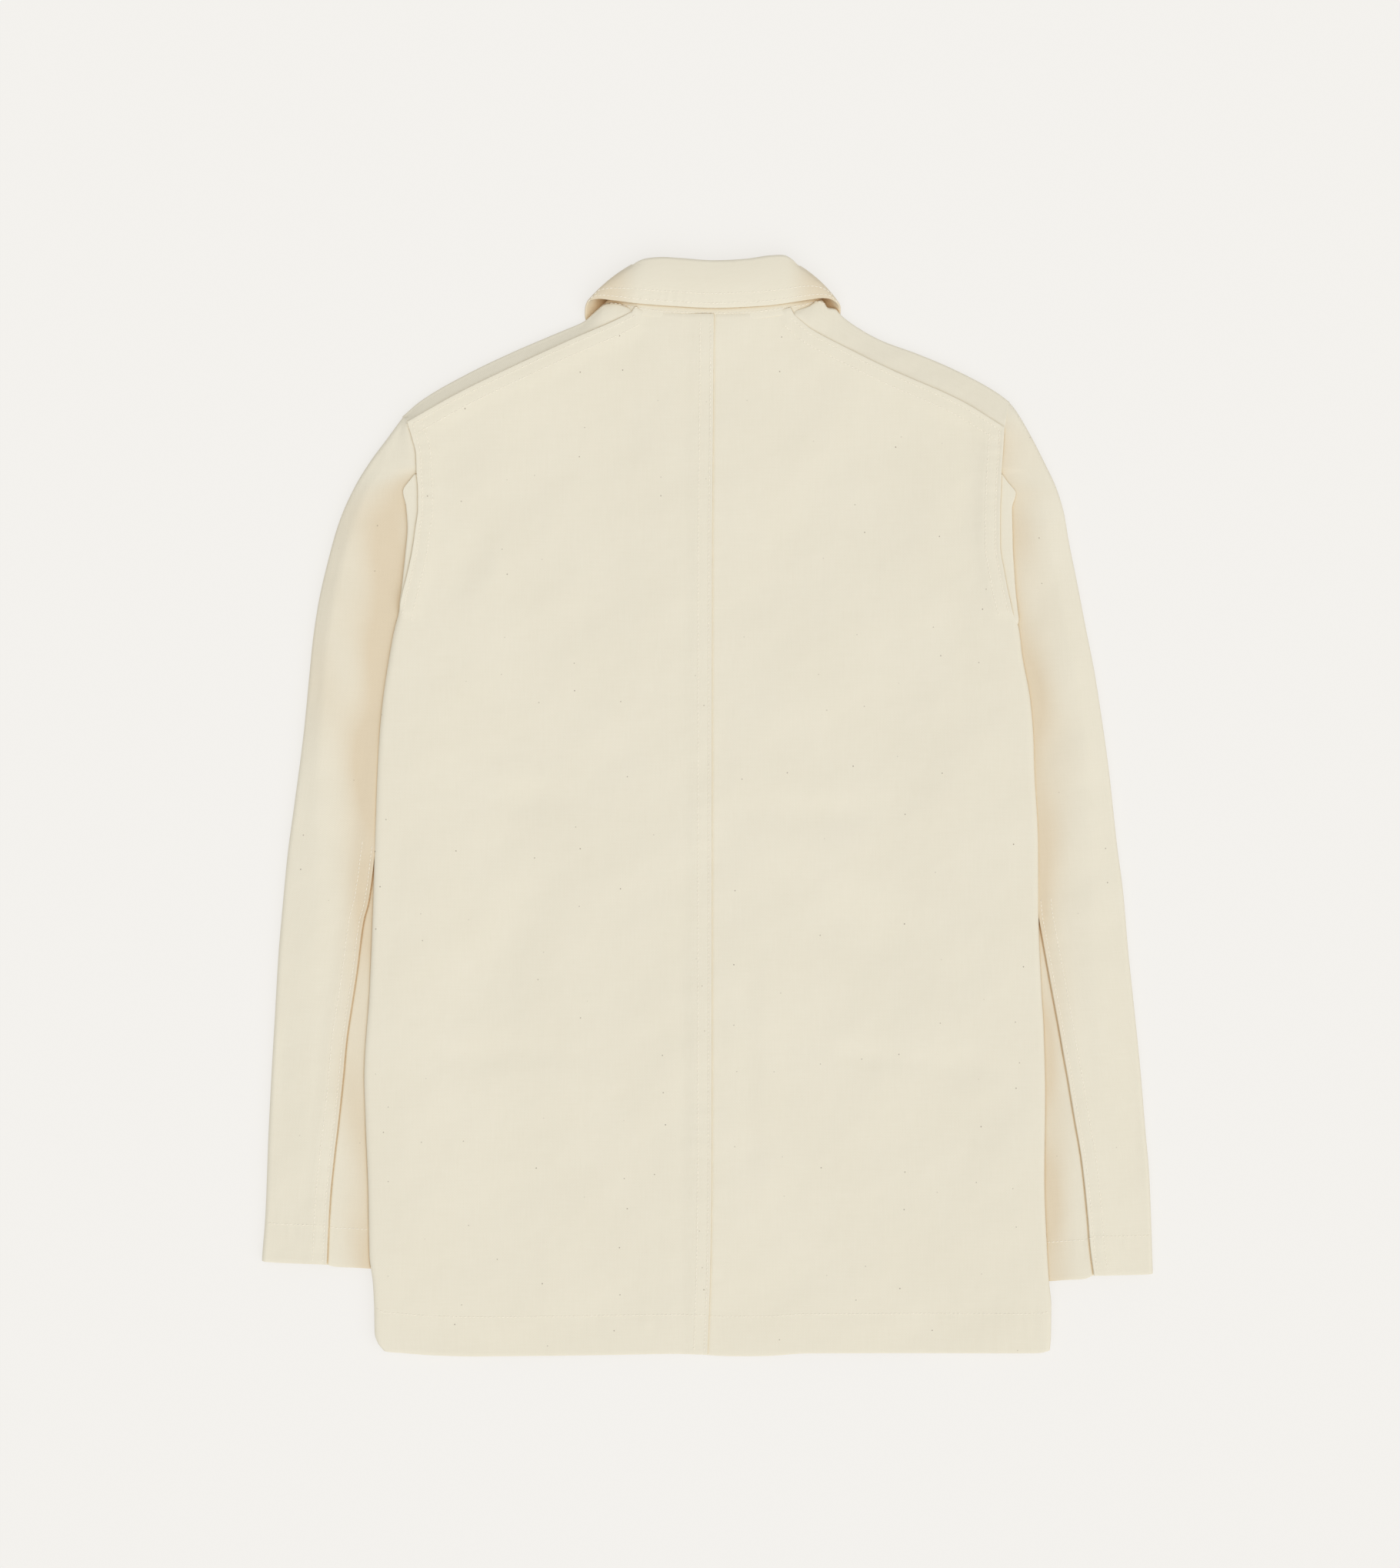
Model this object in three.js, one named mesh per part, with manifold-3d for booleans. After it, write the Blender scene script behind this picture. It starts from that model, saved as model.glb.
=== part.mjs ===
import * as THREE from "three";
import { mergeVertices } from "three/addons/utils/BufferGeometryUtils.js";
import Module from "manifold-3d";

// Chore jacket, laid flat with its back up. Millimetres: +X to the wearer's right, +Y to the collar,
// +Z up from the floor. "out" is a distance from the centre line towards the side.

const wasm = await Module();
wasm.setup();

// cloth
const CLOTH = 1.2; // wall of the canvas
const HALF = CLOTH / 2;
const HEM_EXTRA = 0.8; // turned-up cloth inside the hem
const CUFF_EXTRA = 0.6; // turned-up cloth inside the cuffs
const HEM_Y = -377; // stitched top of the turned-up hem
const CUFF_TURN = 28; // height of the turned-up cuff
const SEAM = 0.3; // gap between two pieces at a seam

// heights of the middle of each wall
const FLOOR_Z = HALF; // cloth that lies on the floor
const SLEEVE_TOP_Z = 4.0; // upper layer of a sleeve, where the body lies on it
const SLEEVE_CROWN = 0.8; // how much fuller a sleeve is beside the body
const OVER_SLEEVE_Z = 5.6; // front, where it lies on a sleeve; also the shoulder and the armholes
const BACK_Z = 5.4; // back, over fronts that lie on the floor
const BACK_SIDE_Z = 10.0; // back, over a front that lies on a sleeve
const BACK_CENTRE_RISE = 1.5; // back, over the closed fronts
const PLACKET_LEFT_Z = 3.4; // left front, over the buttons
const PLACKET_RIGHT_Z = 5.0; // right front, over the left one
const OVER_COLLAR_Z = 3.2; // fronts, over the turned-down collar
const EDGE_ROLL = 2.2; // radius of the rolled side edges

// outlines: place along the jacket y, distance out
const LEFT = {
  sign: -1,
  edge: { // armhole seam, then the side edge
    y: [281.6, 270, 258, 245, 231, 218, 204, 190, 170, 156, 141, 130, 109, 77, 50, 25, -30, -80,
      -138, -202, -232, -290, -333, -354, -372, -394, -401, -405],
    out: [221.1, 217.5, 214.6, 214.2, 213.2, 213.2, 215, 216.9, 221, 224.6, 228, 231, 234.9, 239.7,
      242.3, 243.7, 245.6, 247.2, 249.6, 253.5, 252.6, 250.4, 249.7, 247, 246.1, 245.7, 243.5, 239],
  },
  sleeve: { // outer edge
    y: [285, 270, 253.6, 234.7, 208.6, 178, 148.9, 119.9, 90.8, 53, -2.8, -35.9, -74, -111, -155.6,
      -202, -246, -304, -337.4],
    out: [226, 237.5, 249.7, 261.3, 272.9, 281.6, 288.2, 292.5, 295.4, 299.1, 306.4, 310.9, 314.6,
      317.8, 320.4, 323.1, 325.3, 327.5, 330],
  },
  seam: { // back seam of the sleeve
    y: [244, 238, 231, 218, 204, 184, 170, 152, 141, 120, 95, 66, 0, -38.5, -54, -74, -85.5, -124,
      -149, -175, -202, -236, -260.5, -290, -310, -339.4],
    out: [214.7, 216, 218, 218, 218.4, 220, 221.8, 223.5, 224.5, 226.5, 228, 232, 241, 246.6, 248.5,
      251.7, 254.8, 260, 263.8, 267.6, 270.1, 273.7, 276.6, 279.5, 280.7, 282],
  },
  tuck: { // fold of the under sleeve beside the armhole
    y: [243.5, 240, 237, 233, 231, 220, 204, 184, 170, 158],
    out: [216.3, 219, 221.5, 224.3, 224.8, 222.6, 221.5, 223.2, 224.6, 226],
  },
  cuff: {
    out: [150, 249.3, 259.3, 274.5, 282.8, 292, 316.2, 330],
    y: [-342.5, -342.5, -341.9, -341.2, -339.4, -339, -338.3, -337.4],
  },
  shoulder: { out: [53.6, 68.4, 95.8, 136.3, 183.5, 221.1], y: [363.7, 356.2, 344.3, 325.7, 302.8, 281.6] },
  // where the front turns over the shoulder
  turn: {
    out: [83, 92, 117.4, 145.3, 179.5, 212.6, 225.6],
    y: [360.5, 355.6, 345.4, 333.4, 316.9, 297.5, 286.4],
  },
  frontArmhole: { y: [150, 284], out: [204, 224.8] },
  cap: { y: [281.2, 270, 258, 245], out: [221.2, 217.5, 214.6, 214.2] },
  hem: {
    out: [-8, 0, 25, 68, 171, 204, 226, 238.8, 246],
    y: [-405.4, -405.8, -405.4, -406.3, -407.4, -406.4, -404.7, -403.7, -400],
  },
  neck: { out: [0.4, 16.9, 33.5, 47.4, 53.6], y: [357.7, 357.9, 359.1, 359.9, 363.4] },
};
const RIGHT = {
  sign: 1,
  edge: {
    y: [277.5, 266, 245, 231, 218, 204, 190, 174, 156, 141, 130, 109, 77, 50, 25, -30, -80, -138,
      -165, -216, -275, -333, -354, -370, -394, -405],
    out: [218.2, 217.6, 216.1, 215.6, 215.1, 215, 215.1, 217.6, 221, 225, 229.4, 232.2, 238, 240.3,
      241.1, 243.9, 244.1, 246.3, 247.9, 249.1, 248.5, 250.6, 252, 253.5, 253.3, 252.5],
  },
  sleeve: {
    y: [294, 279, 253.3, 233.1, 215.7, 195.5, 159, 128.6, 99.5, 72, 25.6, -31, -65.7, -110, -146,
      -202, -240, -275, -346.7],
    out: [226, 235.5, 249, 258.4, 263.7, 267.2, 274.5, 280.3, 286.1, 290.5, 297, 303.2, 307.7,
      311.5, 315.3, 320.9, 324, 327, 329.6],
  },
  seam: {
    y: [243, 238, 231, 218, 204, 190, 174, 156, 141, 120, 95, 66, 0, -40, -79.7, -99, -130.5, -161,
      -190, -202, -230, -263, -304, -329, -347.5],
    out: [216.5, 217.6, 219, 219, 219.2, 219.6, 221.5, 223.5, 225, 226.5, 228, 231, 237.5, 241.3,
      244.5, 247.9, 253.6, 259.3, 264.4, 266.6, 271.2, 276.8, 281.2, 283.3, 285.8],
  },
  tuck: {
    y: [243, 238, 234, 230, 218, 204, 190, 174, 156, 141, 137],
    out: [217.5, 221, 224.4, 227.3, 224.5, 224.8, 225.1, 226, 227.3, 229, 229.5],
  },
  cuff: {
    out: [150, 252.5, 263.7, 278.3, 285.5, 313.2, 329.6],
    y: [-351.8, -351.8, -350.9, -350.1, -347.5, -347.3, -346.7],
  },
  shoulder: { out: [61.3, 76.4, 95.2, 132.6, 187.9, 218.2], y: [362.5, 349.8, 339.6, 321, 296.2, 277.5] },
  turn: { out: [90, 98, 127.9, 154.8, 181.7, 213, 222], y: [365, 359.5, 342.7, 332.7, 321.3, 304.5, 298] },
  frontArmhole: { y: [150, 295], out: [204, 221.2] },
  cap: { y: [293.5, 290.5, 278.7, 267, 256, 245], out: [222.4, 221.9, 219, 217.7, 217, 216.2] },
  hem: {
    out: [-8, 0.3, 19, 40, 74, 188, 243, 253],
    y: [-405.4, -406.3, -407.1, -407.1, -405.2, -404.9, -404.7, -403],
  },
  neck: { out: [0.4, 21.7, 49.4, 61.3], y: [357.7, 357.7, 359.8, 362.5] },
};
// hidden parts, alike on both sides
// a sleeve's fold under the body, and its seam on the floor
const INNER_FOLD = { y: [-345, -202, 0, 95], out: [196, 178, 162, 153] };
const FRONT_SEAM = { y: [-345, -100, 95, 140, 165, 167], out: [240, 232, 224, 214, 207, 150] };
// side of a front below the armhole
const UNDERARM = { y: [86, 92, 97, 104, 116, 130, 150], out: [235.5, 230, 219, 213, 208, 205, 204] };
// inner edges of an under sleeve's two layers, under the armhole
const SLEEVE_TONGUE = { y: [93, 96.5, 104, 116, 124, 150, 243], out: [200, 219.9, 214, 209, 208, 206, 211] };
const SLEEVE_FLOOR = {
  y: [94, 103, 110, 116, 119, 124, 130, 150, 160],
  out: [157, 165, 178, 196, 208.4, 207.6, 205.8, 204.6, 206.1],
};
// seam down the middle of the back, which isn't quite straight
const BACK_SEAM_X = { y: [357.6, 276, 197, -259, -340, -406], x: [4.8, 4.3, 3.4, 3.0, 2.2, 0] };

// collar: neck seam, centre of the roll, outer edge, and the side that the fall lies on
const COLLAR_WALL = 2.2; // upper and under collar
const ROLL_BACK = 1.5; // radius of the fold at the back
const ROLL_FRONT = 1.3;
// columns: neck x, y, z; roll x, y, z; edge x, y, z; side x, y, z; roll radius
const collarRow = (neck, roll, edge, side, radius) => ({ neck, roll, edge, side, radius });
const UP = [0, 0, 1];
const DOWN = [0, 0, -1];
const collarBack = [
  collarRow([-62, 367.3, 6.7], [-51, 396.5, 9.2], [-67, 372.2, 10.2], UP, ROLL_BACK),
  collarRow([-53.2, 364.1, 6.8], [-45.5, 400, 9.8], [-54, 370.6, 10.8], UP, ROLL_BACK),
  collarRow([-42, 360.9, 6.9], [-36, 402, 10.4], [-41, 369.6, 11.2], UP, ROLL_BACK),
  collarRow([-22, 359.2, 7], [-21, 401.6, 10.8], [-23, 368.4, 11.4], UP, ROLL_BACK),
  collarRow([4, 358.5, 7], [4, 399.6, 10.8], [4, 366.8, 11.4], UP, ROLL_BACK),
  collarRow([28, 358.9, 7], [29, 400.8, 10.8], [29, 367.6, 11.4], UP, ROLL_BACK),
  collarRow([47, 361, 6.9], [46, 403.6, 10.6], [48, 369, 11.2], UP, ROLL_BACK),
  collarRow([60.9, 362.9, 6.8], [56, 402.6, 10], [60, 370.6, 10.8], UP, ROLL_BACK),
  collarRow([70, 367, 6.7], [60.5, 399.5, 9.4], [74, 373.2, 10.2], UP, ROLL_BACK),
];
// the side fold goes round from the back to the front: base points, direction out, five angles
const sideFold = (neck, roll, edge, out) =>
  [0, 45, 90, 135, 180].map((degrees) => {
    const c = Math.cos((degrees * Math.PI) / 180);
    const s = Math.sin((degrees * Math.PI) / 180);
    const ring = (p, middle, r) => [p[0] + out[0] * r * s, p[1] + out[1] * r * s, middle + r * c];
    return collarRow(
      ring(neck, 5.2, 1.5), ring(roll, 5.7, 3.3), ring(edge, 5.35, 4.25),
      [out[0] * s, out[1] * s, c], c > 0 ? ROLL_BACK : ROLL_FRONT,
    );
  });
const leftFold = sideFold([-72.2, 369.6], [-56, 395], [-86.3, 367.5], [-0.76, 0.65]);
const rightFold = sideFold([80, 369], [63, 397], [93, 365], [0.8, 0.6]);
// front half, under the jacket, from the side to the centre front
const collarFront = (s) => [
  collarRow([s * 65, 355, 3.7], [s * 50, 379, 2.4], [s * 82, 343, 1.1], DOWN, ROLL_FRONT),
  collarRow([s * 50, 329, 3.7], [s * 38, 354, 2.4], [s * 80, 312, 1.1], DOWN, ROLL_FRONT),
  collarRow([s * 28, 302, 3.7], [s * 20, 332, 2.4], [s * 60, 274, 1.1], DOWN, ROLL_FRONT),
  collarRow([s * 1.6, 289, 3.7], [s * 2, 320, 2.4], [s * 25, 256, 1.1], DOWN, ROLL_FRONT),
];
const leftFront = collarFront(-1);
const rightFront = collarFront(1);
const collarRows = [
  ...[...leftFront].reverse(), ...[...leftFold].reverse(), ...collarBack, ...rightFold, ...rightFront,
];

// buttons
const BUTTONS = { y: [240, 140, 40, -60, -160], diameter: 20, rim: 2.4, dish: 1.5, hole: 1.8, spread: 3 };
const PLACKET = 18; // how far each front passes the centre line

// helpers
const lerp = (a, b, f) => a + (b - a) * f;
const clamp = (v, a = 0, b = 1) => Math.min(b, Math.max(a, v));
const smooth = (v) => { const c = clamp(v); return c * c * (3 - 2 * c); };
// value of column b at a place in column a, which may rise or fall
function look(as, bs, a) {
  const up = as[as.length - 1] > as[0];
  for (let i = 1; i < as.length; i++) {
    const inside = up ? a <= as[i] : a >= as[i];
    if (inside || i === as.length - 1) {
      return lerp(bs[i - 1], bs[i], clamp((a - as[i - 1]) / (as[i] - as[i - 1])));
    }
  }
  return bs[0];
}
const outAt = (table, y) => look(table.y, table.out, y);
const backSeamX = (y) => look(BACK_SEAM_X.y, BACK_SEAM_X.x, y);

// a wall from rows of points in its middle; inner(x, y) adds cloth on the inner side
function wall(rows, half = HALF, flip = false, inner = () => 0) {
  const n = rows.length;
  const m = rows[0].length;
  const at = (i, j) => rows[clamp(i, 0, n - 1)][clamp(j, 0, m - 1)];
  const outer = [];
  const inside = [];
  for (let i = 0; i < n; i++) {
    for (let j = 0; j < m; j++) {
      const u = new THREE.Vector3(...at(i + 1, j)).sub(new THREE.Vector3(...at(i - 1, j)));
      const v = new THREE.Vector3(...at(i, j + 1)).sub(new THREE.Vector3(...at(i, j - 1)));
      const normal = new THREE.Vector3().crossVectors(v, u).normalize();
      if (flip) normal.negate();
      const p = new THREE.Vector3(...rows[i][j]);
      outer.push(p.clone().addScaledVector(normal, half));
      inside.push(p.clone().addScaledVector(normal, -half - inner(p.x, p.y)));
    }
  }
  const points = [...outer, ...inside];
  const faces = [];
  const id = (i, j, layer) => layer * n * m + i * m + j;
  const quad = (a, b, c, d) => {
    if (flip) faces.push([a, c, b], [a, d, c]);
    else faces.push([a, b, c], [a, c, d]);
  };
  for (let i = 0; i + 1 < n; i++) {
    for (let j = 0; j + 1 < m; j++) {
      quad(id(i, j, 0), id(i, j + 1, 0), id(i + 1, j + 1, 0), id(i + 1, j, 0));
      quad(id(i, j, 1), id(i + 1, j, 1), id(i + 1, j + 1, 1), id(i, j + 1, 1));
    }
  }
  for (let j = 0; j + 1 < m; j++) {
    quad(id(0, j, 1), id(0, j + 1, 1), id(0, j + 1, 0), id(0, j, 0));
    quad(id(n - 1, j, 0), id(n - 1, j + 1, 0), id(n - 1, j + 1, 1), id(n - 1, j, 1));
  }
  for (let i = 0; i + 1 < n; i++) {
    quad(id(i, 0, 0), id(i + 1, 0, 0), id(i + 1, 0, 1), id(i, 0, 1));
    quad(id(i, m - 1, 1), id(i + 1, m - 1, 1), id(i + 1, m - 1, 0), id(i, m - 1, 0));
  }
  return { points, faces };
}
function solid({ points, faces }) {
  const made = new wasm.Manifold(new wasm.Mesh({
    numProp: 3,
    vertProperties: new Float32Array(points.flatMap((p) => [p.x, p.y, p.z])),
    triVerts: new Uint32Array(faces.flat()),
  }));
  if (made.volume() > 0) return made;
  return new wasm.Manifold(new wasm.Mesh({
    numProp: 3,
    vertProperties: new Float32Array(points.flatMap((p) => [p.x, p.y, p.z])),
    triVerts: new Uint32Array(faces.map(([a, b, c]) => [a, c, b]).flat()),
  }));
}
function geometryOf(made) {
  const mesh = made.getMesh();
  const flat = new Float32Array(mesh.numVert * 3);
  for (let i = 0; i < mesh.numVert; i++) {
    flat.set(mesh.vertProperties.subarray(i * mesh.numProp, i * mesh.numProp + 3), i * 3);
  }
  const geometry = new THREE.BufferGeometry();
  geometry.setAttribute("position", new THREE.BufferAttribute(flat, 3));
  geometry.setIndex(new THREE.BufferAttribute(new Uint32Array(mesh.triVerts), 1));
  geometry.computeVertexNormals();
  return geometry;
}
const group = new THREE.Group();
const canvas = new THREE.MeshStandardMaterial({ color: 0xe9e3d0, roughness: 0.9 });
const shell = new THREE.MeshStandardMaterial({ color: 0xd8ccb0, roughness: 0.6 });
function add(name, made, material = canvas) {
  const mesh = new THREE.Mesh(geometryOf(made), material);
  mesh.name = name;
  group.add(mesh);
}

// heights of the panels
// 0 beside a sleeve, 1 over it
const overSleeve = (out, y) => smooth((out - (outAt(INNER_FOLD, y) - 44)) / 32);
function frontZ(side, inward, y) { // inward: distance past the centre line, negative on its own side
  const out = -inward;
  const lap = (side.sign < 0 ? PLACKET_LEFT_Z : PLACKET_RIGHT_Z) - FLOOR_Z;
  const placket = lap * smooth((58 - out) / 30);
  const sleeve = (OVER_SLEEVE_Z - FLOOR_Z) * overSleeve(out, y) * clamp((133 - y) / 38);
  const collar = (OVER_COLLAR_Z - FLOOR_Z) * smooth((y - 194) / 30) * smooth((108 - out) / 16);
  return FLOOR_Z + Math.max(placket, sleeve, collar);
}
// soft troughs of the back: from x, y to x, y, half width, depth
const FOLDS = [
  { from: [-80, 288], to: [-165, 197], wide: 26, deep: 1.2 },
  { from: [-165, 197], to: [-189, 146], wide: 20, deep: 1.2 },
  { from: [192, 272], to: [190, 162], wide: 16, deep: 1.0 },
  { from: [180, 118], to: [228, 52], wide: 18, deep: 1.1 },
  { from: [-150, 3], to: [-100, 3], wide: 16, deep: 0.8 },
  { from: [40, -6], to: [125, -8], wide: 16, deep: 0.8 },
  { from: [63, -60], to: [177, -128], wide: 26, deep: 1.2 },
  { from: [-131, -77], to: [-165, -145], wide: 24, deep: 1.1 },
  { from: [-200, -186], to: [-84, -184], wide: 17, deep: 0.7 },
  { from: [66, -180], to: [236, -201], wide: 17, deep: 0.7 },
];
function foldZ(x, y) {
  const out = Math.abs(x);
  let z = 0;
  for (const { from, to, wide, deep } of FOLDS) {
    const [dx, dy] = [to[0] - from[0], to[1] - from[1]];
    const t = clamp(((x - from[0]) * dx + (y - from[1]) * dy) / (dx * dx + dy * dy));
    const away = Math.hypot(x - from[0] - dx * t, y - from[1] - dy * t);
    z = Math.min(z, -deep * Math.exp(-((away / wide) ** 2)));
  }
  const keep = y > 86 ? smooth((203 - out) / 12) : smooth((232 - out) / 10);
  return z * keep * smooth((out - 34) / 14);
}
function backZ(x, y) {
  const out = Math.abs(x);
  const centre = BACK_CENTRE_RISE * (1 - smooth((out - 26) / 34));
  const neck = 0.8 * smooth((y - 262) / 20) * smooth((110 - out) / 30);
  const side = (BACK_SIDE_Z - BACK_Z) * overSleeve(out, y) * smooth((141 - y) / 48);
  const armhole = 0.2 * smooth((out - 120) / 60);
  return BACK_Z + Math.max(centre, neck) + Math.max(side, armhole) + foldZ(x, y);
}

// the turned-up hem, left out where the closed fronts fill the space
const hemCloth = (x, y) => (y < HEM_Y ? HEM_EXTRA * smooth((Math.abs(x) - 40) / 20) : 0);

// back panels
const BACK_ROWS = [
  -390, -378, -375, -330, -275, -220, -165, -110, -55, 0, 45, 77, 95, 109, 122, 134, 146, 160, 178, 200,
];
const UPS = [0.22, 0.42, 0.6, 0.8, 1]; // rows above them run along the shoulder more and more
const armholeRows = (side) => [...BACK_ROWS.filter((y) => y > 130),
  ...UPS.map((up) => lerp(200, side.shoulder.y.at(-1) - SEAM, up))];
const armholeOut = (side, y) => { // straight between the rows of the back
  const rows = armholeRows(side);
  return look(rows, rows.map((v) => outAt(side.edge, v)), y);
};
const ROLL_STEPS = 4;
function backPanel(side) {
  const s = side.sign;
  const neckOut = side.shoulder.out[0];
  const shoulderOut = side.shoulder.out.at(-1);
  const shoulderY = side.shoulder.y.at(-1);
  const centre = (y) => s * backSeamX(y) + SEAM / 2; // distance out of the back seam
  const topOuts = [0, 25, 40, neckOut, 76, 96, 112, 126, 140, 154, 168, 184, 200, 214];
  const topY = (out) => (out < neckOut ? look(side.neck.out, side.neck.y, out)
    : look(side.shoulder.out, side.shoulder.y, out) - 0.5);
  const seamOuts = topOuts.map((out) => lerp(centre(357), shoulderOut - 0.15, out / shoulderOut));
  const fractions = seamOuts.map((out) => (out - centre(357)) / (shoulderOut - 0.15 - centre(357)));
  const rowsY = [null, ...BACK_ROWS];
  const line = (centreOut, edgeOut, yOf) => {
    const row = fractions.map((f) => {
      const out = lerp(centreOut, edgeOut, f);
      const y = yOf(out, f);
      return [s * out, y, backZ(s * out, y)];
    });
    const last = row.at(-1);
    const outLast = Math.abs(last[0]);
    for (let k = 0; k <= ROLL_STEPS; k++) {
      const angle = (k / ROLL_STEPS) * (Math.PI / 2);
      const flatOut = edgeOut - EDGE_ROLL + (EDGE_ROLL * k) / ROLL_STEPS;
      const roundOut = edgeOut - EDGE_ROLL - 0.56 + EDGE_ROLL * Math.sin(angle);
      const y = yOf(flatOut, (flatOut - centreOut) / (edgeOut - centreOut));
      const z0 = backZ(s * (edgeOut - EDGE_ROLL), y);
      const drop = clamp((z0 - OVER_SLEEVE_Z) / 2, 0, EDGE_ROLL);
      const bend = clamp(drop / EDGE_ROLL);
      const out = lerp(flatOut, roundOut, bend);
      if (out > outLast + 0.2) row.push([s * out, y, z0 - drop * (1 - Math.cos(angle))]);
      else row.push([s * (outLast + 0.2 * (k + 1)), y, z0]);
    }
    return row;
  };
  const rows = rowsY.map((y) => {
    const yOf = (out) => (y === null ? look(side.hem.out, side.hem.y, out) : y);
    const edgeY = y === null ? side.edge.y.at(-1) : y;
    return line(centre(edgeY), outAt(side.edge, edgeY) - (edgeY > 141 ? 0.15 : 0), yOf);
  });
  for (const up of UPS) {
    const sideY = lerp(200, shoulderY - SEAM, up);
    const edgeOut = lerp(outAt(side.edge, sideY), shoulderOut, up === 1 ? 1 : 0) - 0.15;
    rows.push(line(lerp(centre(200), centre(357), up), edgeOut, (out, f) => {
      const top = lerp(centre(357), shoulderOut - 0.15, clamp(f));
      return lerp(200, topY(top), up);
    }));
  }
  return solid(wall(rows, HALF, s < 0, hemCloth));
}
add("back_left", backPanel(LEFT));
add("back_right", backPanel(RIGHT));

// collar
const vector = (p) => new THREE.Vector3(...p);
const mix = (a, b, f) => a.clone().lerp(b, f);
{
  const rows = collarRows.map((r) => {
    const neck = vector(r.neck);
    const roll = vector(r.roll);
    const edge = vector(r.edge);
    const side = vector(r.side);
    const along = roll.clone().sub(neck).normalize();
    const low = roll.clone().addScaledVector(side, -r.radius);
    const high = roll.clone().addScaledVector(side, r.radius);
    const path = [0, 0.33, 0.66].map((f) => mix(neck, low, f));
    for (let k = 0; k <= 6; k++) {
      const a = (k / 6) * Math.PI;
      path.push(roll.clone().addScaledVector(side, -r.radius * Math.cos(a))
        .addScaledVector(along, r.radius * Math.sin(a)));
    }
    path.push(...[0.33, 0.66, 1].map((f) => mix(high, edge, f)));
    return path.map((p) => [p.x, p.y, p.z]);
  });
  add("collar", solid(wall(rows, COLLAR_WALL / 2)));
}

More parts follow.
